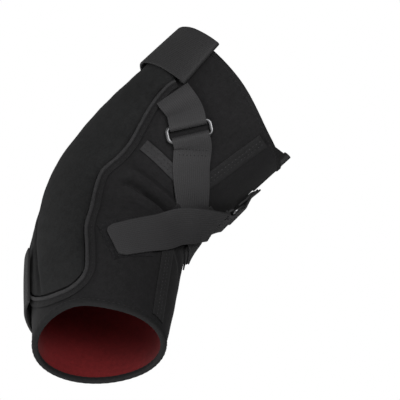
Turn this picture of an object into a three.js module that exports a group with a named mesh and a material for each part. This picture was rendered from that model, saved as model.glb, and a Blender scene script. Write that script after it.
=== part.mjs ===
// Elbow brace: a bent neoprene sleeve with a padded pocket on each side, two webbing straps
// that cross over the elbow crease through wire rings, and a cuff strap round each end.
// Millimetres. The origin is the elbow's centre, +Z runs up the upper arm, the forearm bends
// toward +X and the outer side of the arm faces -Y.
import * as THREE from "three";

// Arm form: two straight limbs joined by a round bend
const elbowFlexion = THREE.MathUtils.degToRad(57);
const bendRadius = 85;
const upperLength = 114;
const lowerLength = 122;
const upperDepth = 112;
const elbowDepth = 108;
const lowerDepth = 88;
const upperWidth = 110;
const elbowWidth = 105;
const lowerWidth = 78;

// Sleeve and rims
const wallThickness = 3;
const hemHeight = 4;
const hemStand = 0.5;
const hemRound = 0.7;
const foldSpread = 5.5;
const foldDepth = 2.6;

// Side pockets and their edging
const padStand = 5.2;
const flangeStand = 1.3;
const ribDiameter = 2.4;
const edgingWidth = 4;
const edgingThickness = 0.7;
const edgingRoom = 1;
const padEndRise = 0.12;
const padEndShare = 0.11;

// Webbing, rings and fastenings
const webbingWidth = 25;
const webbingThickness = 1.3;
const ringWire = 2.8;
const ringOpening = 7;
const ringCorner = 3;
const tabThickness = 1.1;
const foldedPly = 10;
const tabPlyRise = 0.5;
const tabPlyStep = 2;
const strapPlyRise = 0.8 * ringWire;
const turnRoom = 0.1;
const plyGap = 0.25;
const ringSideRoom = 0.8;
const loopPatchWidth = 30;
const loopPatchThickness = 1;
const hookPadThickness = 0.9;
const hookPadLength = 32;
const hookPadInset = 1;

// Cuff straps and seam tapes
const upperCuffWidth = 36;
const upperCuffThickness = 1.6;
const lowerCuffWidth = 46;
const lowerCuffThickness = 1.7;
const cuffTurn = 1.5;
const cuffFold = 5;
const cuffBow = 2;
const frontTapeWidth = 11;
const creaseTapeWidth = 8;
const tapeThickness = 0.7;

// Clearances, and the gaps below what lies over other layers
const clearance = 0.3;
const curveRoom = 0.2;
const layerBase = 0.45;
const pocketBase = 0.6;
const creaseSpan = 0.6;
const overPad = pocketBase + padStand + clearance;
const overEdging = pocketBase + ribDiameter + clearance;
const overFlange = pocketBase + edgingThickness + clearance;
const overTape = layerBase + tapeThickness + clearance + curveRoom;
const overHook = layerBase + loopPatchThickness + hookPadThickness + 2 * clearance + curveRoom;
const overStrap = overHook + webbingThickness + clearance + 3 * curveRoom;
const cuffEndGap = hemStand + 2 * clearance + 2 * cuffTurn;

// Colours
const neoprene = new THREE.MeshStandardMaterial({ color: 0x242225, roughness: 0.92 });
const pocketCloth = new THREE.MeshStandardMaterial({ color: 0x272929, roughness: 0.9 });
const edgingCloth = new THREE.MeshStandardMaterial({ color: 0x3a393a, roughness: 0.85 });
const webbing = new THREE.MeshStandardMaterial({ color: 0x3c3b3c, roughness: 0.75 });
const fuzzyLoop = new THREE.MeshStandardMaterial({ color: 0x201f22, roughness: 1 });
const ringSteel = new THREE.MeshStandardMaterial({ color: 0x8a8a8c, roughness: 0.3, metalness: 1 });

// Cross-sections: reach is a share of the limb's length, up the arm when positive; front and
// back are shares of the depth there, and side is a share of the width there
const sections = [
  { reach: -1.0, front: 0.455, back: 0.545, side: 0.5 },
  { reach: -0.5, front: 0.464, back: 0.571, side: 0.519 },
  { reach: 0.0, front: 0.477, back: 0.528, side: 0.5 },
  { reach: 0.5, front: 0.509, back: 0.464, side: 0.507 },
  { reach: 1.0, front: 0.58, back: 0.42, side: 0.5 },
];

// Rims by angle round the arm, each a share of its limb's length; 0 is the crease side and 90
// the outer side
const rims = [
  { around: -180, upper: 1.0, lower: 0.995 },
  { around: -115, upper: 0.945, lower: 0.985 },
  { around: -60, upper: 0.895, lower: 0.985 },
  { around: 0, upper: 0.89, lower: 1.005 },
  { around: 45, upper: 0.978, lower: 1.01 },
  { around: 90, upper: 1.0, lower: 0.975 },
  { around: 150, upper: 1.0, lower: 0.995 },
  { around: 180, upper: 1.0, lower: 0.995 },
];

// Folds in the crease: depth and spread are shares of foldDepth and foldSpread
const folds = [
  { reach: 0.11, depth: 0.4, spread: 1.0 },
  { reach: -0.05, depth: -0.35, spread: 0.9 },
  { reach: -0.17, depth: 1.0, spread: 0.9 },
];
const foldsFadeAt = 52;

// How far a tape follows the cloth down into a fold and up over a ridge
const tapeSag = 0.3;
const tapeRise = 1.3;

// Stretches of rows along the sleeve, from the lower rim up, closer together across the crease
const sleeveRows = [
  { upTo: 0.36, rows: 4 },
  { upTo: 0.65, rows: 10 },
  { upTo: 1, rows: 4 },
];

// Rolled edge: up is a share of hemHeight in from the rim, and lift is over the cloth
const hemOutline = [
  { up: 0, lift: hemRound - wallThickness },
  { up: 0, lift: -hemRound },
  { up: 0.2, lift: hemStand },
  { up: 1, lift: hemStand },
  { up: 1, lift: -wallThickness - hemStand },
  { up: 0.2, lift: -wallThickness - hemStand },
];

// Pocket outline: the angles of its two long sides
const pocketSides = [
  { reach: 1.0, from: 78.5, to: 151 },
  { reach: 0.78, from: 78, to: 152 },
  { reach: 0.71, from: 75.2, to: 152 },
  { reach: 0.6, from: 77.8, to: 152 },
  { reach: 0.5, from: 73.4, to: 152 },
  { reach: 0.37, from: 67.8, to: 152 },
  { reach: 0.13, from: 63.6, to: 152 },
  { reach: -0.01, from: 68, to: 151 },
  { reach: -0.13, from: 72.4, to: 149 },
  { reach: -0.31, from: 71.4, to: 144 },
  { reach: -0.5, from: 76, to: 139.5 },
  { reach: -0.68, from: 74.3, to: 136.5 },
  { reach: -0.9, from: 74.8, to: 134 },
];

// Pocket across its width: share runs from the crease side to the back, stand is the share of
// the pad's rise over the flange behind it, and end is the reach of the rounded lower end
const pocketColumns = [
  { share: 0.0, stand: 0.22, end: -0.79 },
  { share: 0.06, stand: 0.65, end: -0.84 },
  { share: 0.2, stand: 0.96, end: -0.87 },
  { share: 0.38, stand: 1.0, end: -0.87 },
  { share: 0.56, stand: 0.87, end: -0.85 },
  { share: 0.66, stand: 0.5, end: -0.83 },
  { share: 0.71, stand: 0, end: -0.815 },
  { share: 0.85, stand: 0, end: -0.765 },
  { share: 1.0, stand: 0, end: -0.68 },
];

// Edging round a pocket: over is a share of the rib's radius outward from the rib's middle,
// flat is a share of edgingWidth beyond it, and height is over the cloth
const edgingOutline = [
  { over: 1, flat: 1, height: 0 },
  { over: 1, flat: 1, height: edgingThickness },
  { over: 1, flat: 0, height: edgingThickness },
  { over: 0.6, flat: 0, height: ribDiameter * 0.95 },
  { over: -0.5, flat: 0, height: ribDiameter },
  { over: -1, flat: 0, height: ribDiameter * 0.5 },
  { over: -0.7, flat: 0, height: 0 },
];

// Rings: heading is the way the strap leaves, in degrees from up the arm toward a growing
// angle round it; rest and leave are the gaps below the strap's folded end and its start;
// the tab comes from its own start, with its edge cut askew by tabSlant
const outerRing = {
  reach: 0.557,
  around: 38.5,
  heading: 240,
  rest: layerBase,
  leave: overTape,
  tabStart: { reach: 0.64, around: 66 },
  tabSlant: 0,
};
const innerRing = {
  reach: 0.42,
  around: -49,
  heading: 146,
  rest: overTape,
  leave: overStrap,
  tabStart: { reach: 0.55, around: -61.5 },
  tabSlant: -0.6,
};

// Routes of the straps after their rings, of their loop patches and of the seam tapes: reach,
// angle round the arm, and the gap below a strap
const outerStrapRoute = [
  { reach: 0.43, around: 20.5, gap: overTape },
  { reach: 0.36, around: 11.5, gap: overTape },
  { reach: 0.22, around: 4, gap: overTape + creaseSpan },
  { reach: 0.066, around: -5, gap: overTape + creaseSpan },
  { reach: -0.025, around: -17.5, gap: overHook },
  { reach: -0.066, around: -33.5, gap: overHook },
  { reach: -0.12, around: -44, gap: overHook },
  { reach: -0.17, around: -51, gap: overHook },
];
const innerStrapRoute = [
  { reach: 0.12, around: -26, gap: overStrap },
  { reach: -0.14, around: -11.5, gap: overStrap },
  { reach: -0.406, around: 7, gap: overHook + creaseSpan },
  { reach: -0.504, around: 24, gap: overHook },
  { reach: -0.574, around: 39, gap: overHook },
  { reach: -0.62, around: 52, gap: overHook },
];
const outerPatchRoute = [
  { reach: -0.505, around: 24 },
  { reach: -0.56, around: 40 },
  { reach: -0.613, around: 57.5 },
];
const innerPatchRoute = [
  { reach: -0.1, around: -29 },
  { reach: -0.15, around: -40 },
  { reach: -0.205, around: -50 },
];

// Cuff straps: over is the gap that the layer below needs, and bow the share of cuffBow by
// which the strap stands off it or sinks where the layer is lower
const upperCuffRoute = [
  { reach: 0.885, around: 69, over: cuffEndGap, bow: 0 },
  { reach: 0.875, around: 77.5, over: overPad, bow: -0.2 },
  { reach: 0.85, around: 97, over: overPad, bow: 0.25 },
  { reach: 0.815, around: 118, over: overPad, bow: 1 },
  { reach: 0.79, around: 140, over: overPad, bow: -0.4 },
  { reach: 0.78, around: 160, over: overEdging, bow: 0.15 },
  { reach: 0.78, around: 180, over: overTape, bow: 0 },
  { reach: 0.78, around: 200, over: overEdging, bow: 0.15 },
  { reach: 0.785, around: 220, over: overPad, bow: -0.4 },
  { reach: 0.8, around: 242, over: overPad, bow: 1 },
  { reach: 0.81, around: 263, over: overPad, bow: 0.25 },
  { reach: 0.81, around: 281, over: overPad, bow: -0.2 },
  { reach: 0.81, around: 289, over: cuffEndGap, bow: 0 },
];
const lowerCuffRoute = [
  { reach: -0.61, around: 129, over: overEdging, bow: 0.15 },
  { reach: -0.61, around: 140, over: overEdging, bow: 0.25 },
  { reach: -0.61, around: 158, over: overTape, bow: 0.15 },
  { reach: -0.61, around: 180, over: layerBase, bow: 0.15 },
  { reach: -0.61, around: 202, over: overTape, bow: 0.15 },
  { reach: -0.61, around: 220, over: overEdging, bow: 0.25 },
  { reach: -0.61, around: 231, over: overEdging, bow: 0.15 },
];

const frontTapeRoute = [
  { reach: 0.84, around: 0.5 },
  { reach: 0.44, around: 2.5 },
  { reach: 0.2, around: 6 },
  { reach: -0.1, around: 2 },
  { reach: -0.5, around: 1 },
  { reach: -0.955, around: -0.5 },
];
const outerCreaseTapeRoute = [
  { reach: 0.275, around: 53.5 },
  { reach: 0.275, around: 40 },
  { reach: 0.265, around: 17 },
];
const innerCreaseTapeRoute = [
  { reach: 0.275, around: -35 },
  { reach: 0.27, around: -26 },
  { reach: 0.265, around: -17 },
];

// Smooth value of one column of a table at a place along its key column
function lookUp(table, key, column, at) {
  const last = table.length - 1;
  const slope = (i) => {
    const before = table[Math.max(i - 1, 0)];
    const after = table[Math.min(i + 1, last)];
    return (after[column] - before[column]) / (after[key] - before[key]);
  };
  let i = 0;
  const rising = table[last][key] > table[0][key];
  while (i < last - 1 && (rising ? at > table[i + 1][key] : at < table[i + 1][key])) i += 1;
  const span = table[i + 1][key] - table[i][key];
  const u = THREE.MathUtils.clamp((at - table[i][key]) / span, 0, 1);
  const start = table[i][column];
  const end = table[i + 1][column];
  const startSlope = slope(i) * span;
  const endSlope = slope(i + 1) * span;
  const rise = u * u * (3 - 2 * u);
  return start + (end - start) * rise + u * (1 - u) * ((1 - u) * startSlope - u * endSlope);
}

const alongAt = (reach) => reach * (reach > 0 ? upperLength : lowerLength);
const reachAt = (along) => along / (along > 0 ? upperLength : lowerLength);
const radians = THREE.MathUtils.degToRad;
const turned = (around) => ((((around + 180) % 360) + 360) % 360) - 180;

// Depth or width at a reach, straight between the three named sizes
function between(reach, lower, middle, upper) {
  return middle + Math.min(Math.abs(reach), 1) * ((reach > 0 ? upper : lower) - middle);
}

// Point on the arm form: along the centreline from the elbow, around from the crease side
function onArm(along, around, lift) {
  const half = (bendRadius * elbowFlexion) / 2;
  const turn = THREE.MathUtils.clamp((half - along) / (2 * half), 0, 1) * elbowFlexion;
  const run = new THREE.Vector3(-Math.sin(turn), 0, Math.cos(turn));
  const front = new THREE.Vector3(Math.cos(turn), 0, Math.sin(turn));
  const point = new THREE.Vector3(
    bendRadius * (1 - Math.cos(turn)),
    0,
    bendRadius * (Math.tan(elbowFlexion / 2) - Math.sin(turn)),
  );
  point.addScaledVector(run, Math.max(along - half, 0) - Math.max(-half - along, 0));
  const reach = THREE.MathUtils.clamp(reachAt(along), -1, 1);
  const depth = between(reach, lowerDepth, elbowDepth, upperDepth);
  const width = between(reach, lowerWidth, elbowWidth, upperWidth);
  const cosine = Math.cos(radians(around));
  const side = lookUp(sections, "reach", "side", reach) * width;
  const reachOut = lookUp(sections, "reach", cosine > 0 ? "front" : "back", reach) * depth;
  point.addScaledVector(front, (reachOut + lift) * cosine);
  point.y -= (side + lift) * Math.sin(radians(around));
  return point;
}

// How far the crease folds sink the cloth at a place
function foldSink(along, around) {
  const fade = Math.max(0, 1 - Math.pow(turned(around) / foldsFadeAt, 2));
  return folds.reduce((sum, fold) => {
    const off = (along - alongAt(fold.reach)) / (foldSpread * fold.spread);
    return sum + foldDepth * fold.depth * fade * Math.exp(-off * off);
  }, 0);
}

const onCloth = (along, around, lift) => onArm(along, around, lift - foldSink(along, around));

// Closed mesh from points and triangles, turned so that its faces point out
function closedMesh(points, triangles) {
  const corner = (t, i) => points[triangles[3 * t + i]];
  let volume = 0;
  for (let t = 0; t < triangles.length / 3; t += 1) {
    volume += corner(t, 0).dot(new THREE.Vector3().crossVectors(corner(t, 1), corner(t, 2)));
  }
  const geometry = new THREE.BufferGeometry().setFromPoints(points);
  geometry.setIndex(volume > 0 ? triangles : triangles.slice().reverse());
  geometry.computeVertexNormals();
  return geometry;
}

// Solid between two grids of points that face each other; a wrapped grid closes on itself
function layer(top, bottom, wraps) {
  const rows = top.length;
  const columns = top[0].length;
  const points = [...top.flat(), ...bottom.flat()];
  const triangles = [];
  const place = (side, row, column) => (side * rows + row) * columns + (column % columns);
  const quad = (a, b, c, d) => triangles.push(a, b, c, a, c, d);
  const lastColumn = wraps ? columns : columns - 1;
  for (let r = 0; r < rows - 1; r += 1) {
    for (let c = 0; c < lastColumn; c += 1) {
      quad(place(0, r, c), place(0, r, c + 1), place(0, r + 1, c + 1), place(0, r + 1, c));
      quad(place(1, r, c), place(1, r + 1, c), place(1, r + 1, c + 1), place(1, r, c + 1));
    }
  }
  for (let c = 0; c < lastColumn; c += 1) {
    quad(place(0, 0, c), place(1, 0, c), place(1, 0, c + 1), place(0, 0, c + 1));
    const end = rows - 1;
    quad(place(0, end, c), place(0, end, c + 1), place(1, end, c + 1), place(1, end, c));
  }
  for (let r = 0; r < rows - 1 && !wraps; r += 1) {
    quad(place(0, r, 0), place(0, r + 1, 0), place(1, r + 1, 0), place(1, r, 0));
    const edge = columns - 1;
    quad(place(0, r, edge), place(1, r, edge), place(1, r + 1, edge), place(0, r + 1, edge));
  }
  return closedMesh(points, triangles);
}

// Solid that joins a row of like outlines, closed on itself or capped at both ends
function loft(outlines, closed) {
  const count = outlines[0].length;
  const triangles = [];
  const place = (i, j) => (i % outlines.length) * count + (j % count);
  for (let i = 0; i < outlines.length - (closed ? 0 : 1); i += 1) {
    for (let j = 0; j < count; j += 1) {
      triangles.push(place(i, j), place(i, j + 1), place(i + 1, j + 1));
      triangles.push(place(i, j), place(i + 1, j + 1), place(i + 1, j));
    }
  }
  for (let j = 1; j < count - 1 && !closed; j += 1) {
    triangles.push(place(0, 0), place(0, j + 1), place(0, j));
    const end = outlines.length - 1;
    triangles.push(place(end, 0), place(end, j), place(end, j + 1));
  }
  return closedMesh(outlines.flat(), triangles);
}

const steps = (count) => Array.from({ length: count + 1 }, (_, i) => i / count);

// Route over the arm, measured in millimetres, with a smooth curve through its stations
function routeOver(stations) {
  const flat = stations.map((s) => new THREE.Vector3(alongAt(s.reach), s.around, s.gap ?? 0));
  const curve = new THREE.CatmullRomCurve3(flat);
  const samples = steps(120).map((u) => curve.getPoint(u));
  const distances = [0];
  for (let i = 1; i < samples.length; i += 1) {
    const step = onArm(samples[i].x, samples[i].y, 0);
    step.sub(onArm(samples[i - 1].x, samples[i - 1].y, 0));
    distances.push(distances[i - 1] + step.length());
  }
  const table = samples.map((s, i) => ({ at: distances[i], along: s.x, around: s.y, gap: s.z }));
  const length = distances[distances.length - 1];
  const read = (at, column) => {
    const inside = THREE.MathUtils.clamp(at, 0, length);
    const i = Math.max(1, table.findIndex((row) => row.at >= inside - 1e-9));
    const before = table[i - 1];
    const after = table[i];
    const share = (at - before.at) / (after.at - before.at);
    return before[column] + share * (after[column] - before[column]);
  };
  return { length, read };
}

// Directions on the arm at a place: up the limb, round it by one degree, and out of it
function directions(along, around, lift) {
  const up = onArm(along + 0.5, around, lift).sub(onArm(along - 0.5, around, lift));
  const round = onArm(along, around + 0.5, lift).sub(onArm(along, around - 0.5, lift));
  return { up, round, out: new THREE.Vector3().crossVectors(up, round).normalize() };
}

// Place on the arm at a lift that lies nearest under a point, found from a start close to it
function nearestOnArm(target, start, lift) {
  let { along, around } = start;
  for (let i = 0; i < 6; i += 1) {
    const { up, round } = directions(along, around, lift);
    const miss = target.clone().sub(onArm(along, around, lift));
    const skew = up.dot(round);
    const scale = up.lengthSq() * round.lengthSq() - skew * skew;
    along += (0.9 * (miss.dot(up) * round.lengthSq() - miss.dot(round) * skew)) / scale;
    around += (0.9 * (miss.dot(round) * up.lengthSq() - miss.dot(up) * skew)) / scale;
  }
  return { along, around };
}

// Place beside a route: at millimetres along it and aside millimetres across it
function besideRoute(route, at, aside, lift) {
  const start = { along: route.read(at, "along"), around: route.read(at, "around") };
  const { up, round, out } = directions(start.along, start.around, lift);
  const ahead = up.multiplyScalar(route.read(at + 1, "along") - route.read(at - 1, "along"));
  ahead.addScaledVector(round, route.read(at + 1, "around") - route.read(at - 1, "around"));
  const across = new THREE.Vector3().crossVectors(ahead, out).normalize();
  const target = onArm(start.along, start.around, lift).addScaledVector(across, aside);
  const place = nearestOnArm(target, start, lift);
  return onArm(place.along, place.around, lift);
}

// Band that follows a profile of places along a route and heights over the cloth. The profile
// is the band's middle, and it may turn back over itself. A flat spot lies square to a ring's
// frame, and a slanted one is cut askew
function band(route, profile, width, thickness, columns, frame) {
  const face = (side) =>
    profile.map((spot, i) => {
      const before = profile[Math.max(i - 1, 0)];
      const after = profile[Math.min(i + 1, profile.length - 1)];
      const run = new THREE.Vector2(after.at - before.at, after.height - before.height).normalize();
      const at = spot.at - (side * run.y * thickness) / 2;
      const height = spot.height + (side * run.x * thickness) / 2;
      return steps(columns).map((u) => {
        const aside = (u - 0.5) * width;
        const point = besideRoute(route, at + aside * (spot.slant ?? 0), aside, height);
        if (!spot.flat) return point;
        return point.lerp(inFrame(frame, at - frame.at, aside, height - frame.height), spot.flat);
      });
    });
  return layer(face(1), face(-1), false);
}

// Point in a ring's frame: ahead along its heading, aside across it, and out of the arm
function inFrame(frame, ahead, aside, out) {
  const point = frame.centre.clone().addScaledVector(frame.onward, ahead);
  return point.addScaledVector(frame.across, aside).addScaledVector(frame.outward, out);
}

// Even spots along a route, resting on its gap
function resting(route, from, to, thickness, count) {
  return steps(count).map((u) => {
    const at = from + u * (to - from);
    return { at, height: route.read(at, "gap") + thickness / 2 };
  });
}

// Part of a band's profile that turns back round a bar, from under it to over it
function turnRound(at, height, radius, ahead) {
  return steps(6).map((u) => {
    const angle = Math.PI * (u - 0.5);
    const level = height + radius * Math.sin(angle);
    return { at: at + ahead * radius * Math.cos(angle), height: level, flat: 1 };
  });
}

// Frame of a ring that lies at a height over the arm, with its strap leaving onward
function ringFrame(place, height) {
  const along = alongAt(place.reach);
  const { up, round, out } = directions(along, place.around, height);
  const heading = radians(place.heading);
  const onward = up.normalize().multiplyScalar(Math.cos(heading));
  onward.addScaledVector(round.normalize(), Math.sin(heading)).normalize();
  const across = new THREE.Vector3().crossVectors(onward, out).normalize();
  const centre = onArm(along, place.around, height);
  return { centre, onward, across, outward: out, height, start: { along, around: place.around } };
}

// Station on the arm under a point ahead of a ring
function besideRing(frame, ahead, gap) {
  const spot = nearestOnArm(inFrame(frame, ahead, 0, 0), frame.start, frame.height);
  return { reach: reachAt(spot.along), around: spot.around, gap };
}

const pieces = new THREE.Group();

function add(name, geometry, material) {
  const mesh = new THREE.Mesh(geometry, material);
  mesh.name = name;
  pieces.add(mesh);
}

const upperRimAt = (around) => lookUp(rims, "around", "upper", turned(around)) * upperLength;
const lowerRimAt = (around) => -lookUp(rims, "around", "lower", turned(around)) * lowerLength;

const aroundTheArm = Array.from({ length: 34 }, (_, j) => -180 + (360 * j) / 34);

// Sleeve: one bent wall, open at both ends
function sleeve() {
  const rows = sleeveRows.flatMap((stretch, i) => {
    const from = i > 0 ? sleeveRows[i - 1].upTo : 0;
    return steps(stretch.rows).slice(i > 0 ? 1 : 0).map((u) => from + u * (stretch.upTo - from));
  });
  const grid = (lift) =>
    rows.map((share) =>
      aroundTheArm.map((around) => {
        const low = lowerRimAt(around) + hemHeight + clearance;
        const high = upperRimAt(around) - hemHeight - clearance;
        return onCloth(low + share * (high - low), around, lift);
      }),
    );
  add("sleeve", layer(grid(0), grid(-wallThickness), true), neoprene);
}

// Hem: a rolled edge that closes one rim, from its end to where the wall starts
function hem(name, rimAt, inward) {
  const outlines = aroundTheArm.map((around) =>
    hemOutline.map((p) => onCloth(rimAt(around) + inward * p.up * hemHeight, around, p.lift)),
  );
  add(name, loft(outlines, true), edgingCloth);
}

// Place on the pocket's outline, by share across and share of the way down
function pocketPlace(column, down, mirror) {
  const angleAt = (reach) => {
    const from = lookUp(pocketSides, "reach", "from", reach);
    return from + column.share * (lookUp(pocketSides, "reach", "to", reach) - from);
  };
  const top = upperRimAt(mirror * angleAt(1)) - hemHeight - 2 * clearance;
  const reach = reachAt(top + down * (alongAt(column.end) - top));
  return { reach, around: mirror * angleAt(reach) };
}

// Pocket: a long raised pad with a flat flange behind it
function pocket(name, mirror) {
  const grid = (raised) =>
    steps(24).map((down) =>
      pocketColumns.map((column) => {
        const place = pocketPlace(column, down, mirror);
        const taper = Math.sqrt(Math.min(1, padEndRise + (1 - down) / padEndShare));
        const stand = flangeStand + column.stand * (padStand - flangeStand) * taper;
        return onArm(alongAt(place.reach), place.around, pocketBase + (raised ? stand : 0));
      }),
    );
  add(name, layer(grid(true), grid(false), false), pocketCloth);
}

// Edging: a round rib beside the pocket with a flat tape outside it, from below the upper cuff
// strap down the crease side, round the lower end and up the back
function edging(name, mirror, cuffEnd) {
  const topReach = reachAt(alongAt(cuffEnd.reach) - upperCuffWidth / 2 - 5 * clearance);
  const firstReach = reachAt(alongAt(topReach) - edgingWidth);
  const front = pocketColumns[0];
  const back = pocketColumns[pocketColumns.length - 1];
  const downs = steps(12).slice(0, -1);
  const side = (column) =>
    downs.map((u) => pocketPlace(column, u, mirror)).filter((p) => p.reach < firstReach);
  const startOf = (column) => {
    const around = lookUp(pocketSides, "reach", column === front ? "from" : "to", topReach);
    return { reach: topReach, around: mirror * around };
  };
  const lowerEnd = pocketColumns.map((column) => pocketPlace(column, 1, mirror));
  const line = [startOf(front), ...side(front), ...lowerEnd, ...side(back).reverse(), startOf(back)];
  const route = routeOver(line);
  const radius = ribDiameter / 2;
  const outlines = steps(50).map((u) =>
    edgingOutline.map((p) => {
      const aside = (1 + p.over) * radius + edgingRoom + p.flat * edgingWidth;
      return besideRoute(route, u * route.length, -mirror * aside, pocketBase + p.height);
    }),
  );
  add(name, loft(outlines, false), edgingCloth);
}

// Wire ring: a round-cornered rectangle that lies flat in its frame
function ring(name, frame) {
  const wire = ringWire / 2;
  const halfWidth = webbingWidth / 2 + ringSideRoom + wire;
  const halfRun = ringOpening / 2 + wire;
  const corners = [
    { aside: 1, ahead: 1, from: 0 },
    { aside: -1, ahead: 1, from: 90 },
    { aside: -1, ahead: -1, from: 180 },
    { aside: 1, ahead: -1, from: 270 },
  ];
  const outlines = corners.flatMap((corner) =>
    steps(3).map((u) => {
      const turn = radians(corner.from + 90 * u);
      return Array.from({ length: 6 }, (_, j) => {
        const angle = (j * Math.PI) / 3;
        const reachOut = ringCorner + wire * Math.cos(angle);
        const aside = corner.aside * (halfWidth - ringCorner) + reachOut * Math.cos(turn);
        const ahead = corner.ahead * (halfRun - ringCorner) + reachOut * Math.sin(turn);
        return inFrame(frame, ahead, aside, wire * Math.sin(angle));
      });
    }),
  );
  add(name, loft(outlines, true), ringSteel);
}

// Side fastening: the tab from the pocket, its ring, and the strap that runs from the ring
// over the crease to a loop patch on the far side of the forearm
function fastening(side, place, strapStations, patchStations) {
  const bar = (ringOpening + ringWire) / 2;
  const underPly = place.rest + webbingThickness / 2;
  const strapTurn = (ringWire + webbingThickness) / 2 + clearance + turnRoom;
  const ringHeight = underPly + strapTurn;
  const frame = ringFrame(place, ringHeight);

  const tabTurn = (ringWire + tabThickness) / 2 + clearance + turnRoom;
  const nearRing = [-bar - foldedPly / 2, tabTurn - bar].map((ahead) => besideRing(frame, ahead, 0));
  const tabRoute = routeOver([{ ...place.tabStart, gap: 0 }, ...nearRing]);
  const tabEnd = tabRoute.length;
  const lowPly = overFlange + tabThickness / 2;
  const highPly = lowPly + tabThickness + plyGap;
  const ply = (from, height, rise) =>
    steps(4).map((u) => ({
      at: from + u * (tabEnd - foldedPly - from),
      height: height + u * rise,
      slant: (1 - u) * place.tabSlant,
      flat: 0.7 * u,
    }));
  const tabProfile = [
    ...ply(tabPlyStep, lowPly, 0),
    ...turnRound(tabEnd - tabTurn, ringHeight, tabTurn, 1),
    ...ply(0, highPly, tabPlyRise).reverse(),
  ];
  const tabFrame = { ...frame, at: tabEnd - tabTurn + bar };
  add(`${side}_tab`, band(tabRoute, tabProfile, webbingWidth, tabThickness, 2, tabFrame), webbing);

  const fromRing = [bar - strapTurn, bar + foldedPly / 2];
  const start = fromRing.map((ahead) => besideRing(frame, ahead, place.leave));
  const strapRoute = routeOver([...start, ...strapStations]);
  const strapEnd = strapRoute.length;
  const strapProfile = [
    { at: foldedPly, height: underPly },
    { at: foldedPly / 2, height: underPly, flat: 0.9 },
    ...turnRound(strapTurn, ringHeight, strapTurn, -1),
    { at: foldedPly * 0.6, height: underPly + webbingThickness + strapPlyRise, flat: 0.9 },
    { at: foldedPly, height: underPly + webbingThickness + plyGap },
    ...resting(strapRoute, foldedPly + 6, strapEnd, webbingThickness, 20),
  ];
  const strapFrame = { ...frame, at: strapTurn - bar };
  const strap = band(strapRoute, strapProfile, webbingWidth, webbingThickness, 3, strapFrame);
  add(`${side}_strap`, strap, webbing);
  ring(`${side}_ring`, frame);

  const far = side === "outer" ? "inner" : "outer";
  const padFrom = strapEnd - hookPadLength - clearance;
  const padProfile = steps(6).map((u) => {
    const at = padFrom + u * hookPadLength;
    const gap = strapRoute.read(at, "gap");
    return { at, height: gap - clearance - hookPadThickness / 2 };
  });
  const padWidth = webbingWidth - 2 * hookPadInset;
  add(`${side}_strap_hook`, band(strapRoute, padProfile, padWidth, hookPadThickness, 3), fuzzyLoop);

  const patchRoute = routeOver(patchStations);
  const patchProfile = steps(7).map((u) => ({
    at: u * patchRoute.length,
    height: layerBase + loopPatchThickness / 2,
  }));
  const patch = band(patchRoute, patchProfile, loopPatchWidth, loopPatchThickness, 4);
  add(`${far}_loop_patch`, patch, fuzzyLoop);
}

const cuffStations = (stations) => stations.map((s) => ({ ...s, gap: s.over + s.bow * cuffBow }));

// Upper cuff strap: over both pockets and round the back, each end turned under
function upperCuff() {
  const route = routeOver(cuffStations(upperCuffRoute));
  const middle = cuffEndGap + upperCuffThickness / 2 - cuffTurn;
  const turnAt = (at, ahead) =>
    turnRound(at, middle, cuffTurn, ahead).map((spot) => ({ ...spot, flat: 0 }));
  const near = turnAt(cuffTurn, -1);
  const far = turnAt(route.length - cuffTurn, 1);
  const profile = [
    { at: cuffFold, height: near[0].height },
    ...near,
    ...resting(route, cuffFold + 1, route.length - cuffFold - 1, upperCuffThickness, 30),
    ...far.reverse(),
    { at: route.length - cuffFold, height: near[0].height },
  ];
  add("upper_cuff_strap", band(route, profile, upperCuffWidth, upperCuffThickness, 3), webbing);
}

// Lower cuff strap: an elastic band across the back of the forearm, from pocket to pocket
function lowerCuff() {
  const route = routeOver(cuffStations(lowerCuffRoute));
  const profile = resting(route, 0, route.length, lowerCuffThickness, 18);
  add("lower_cuff_strap", band(route, profile, lowerCuffWidth, lowerCuffThickness, 4), webbing);
}

// Seam tape: lies on the cloth, and follows its folds in part
function tape(name, stations, width, count) {
  const route = routeOver(stations);
  const lay = (raised) =>
    steps(count).map((u) =>
      steps(2).map((across) => {
        const at = u * route.length;
        const sink = foldSink(route.read(at, "along"), route.read(at, "around"));
        const follow = (sink > 0 ? tapeSag : tapeRise) * sink;
        const lift = layerBase + (raised ? tapeThickness : 0) - follow;
        return besideRoute(route, at, (across - 0.5) * width, lift);
      }),
    );
  add(name, layer(lay(true), lay(false), false), edgingCloth);
}

sleeve();
hem("upper_hem", upperRimAt, -1);
hem("lower_hem", lowerRimAt, 1);
pocket("outer_pocket", 1);
pocket("inner_pocket", -1);
edging("outer_edging", 1, upperCuffRoute[0]);
edging("inner_edging", -1, upperCuffRoute[upperCuffRoute.length - 1]);
fastening("outer", outerRing, outerStrapRoute, innerPatchRoute);
fastening("inner", innerRing, innerStrapRoute, outerPatchRoute);
upperCuff();
lowerCuff();
tape("front_tape", frontTapeRoute, frontTapeWidth, 34);
tape("outer_crease_tape", outerCreaseTapeRoute, creaseTapeWidth, 9);
tape("inner_crease_tape", innerCreaseTapeRoute, creaseTapeWidth, 5);

export default pieces;
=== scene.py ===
"""Elbow brace: the finished look of a bent neoprene sleeve with side pads and crossed webbing.

Every piece is laid over one form, the bent sleeve's outer face without its folds. A place on it
is given by millimetres along the form's middle line from its bend, degrees round it from the
crease side, and a lift over the cloth. Meshes are in metres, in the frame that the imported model
uses.
"""

import logging
import math
from dataclasses import dataclass
from enum import Enum
from typing import Callable, NamedTuple, Sequence

import bpy
import numpy as np
from mathutils import Matrix, Vector


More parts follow.
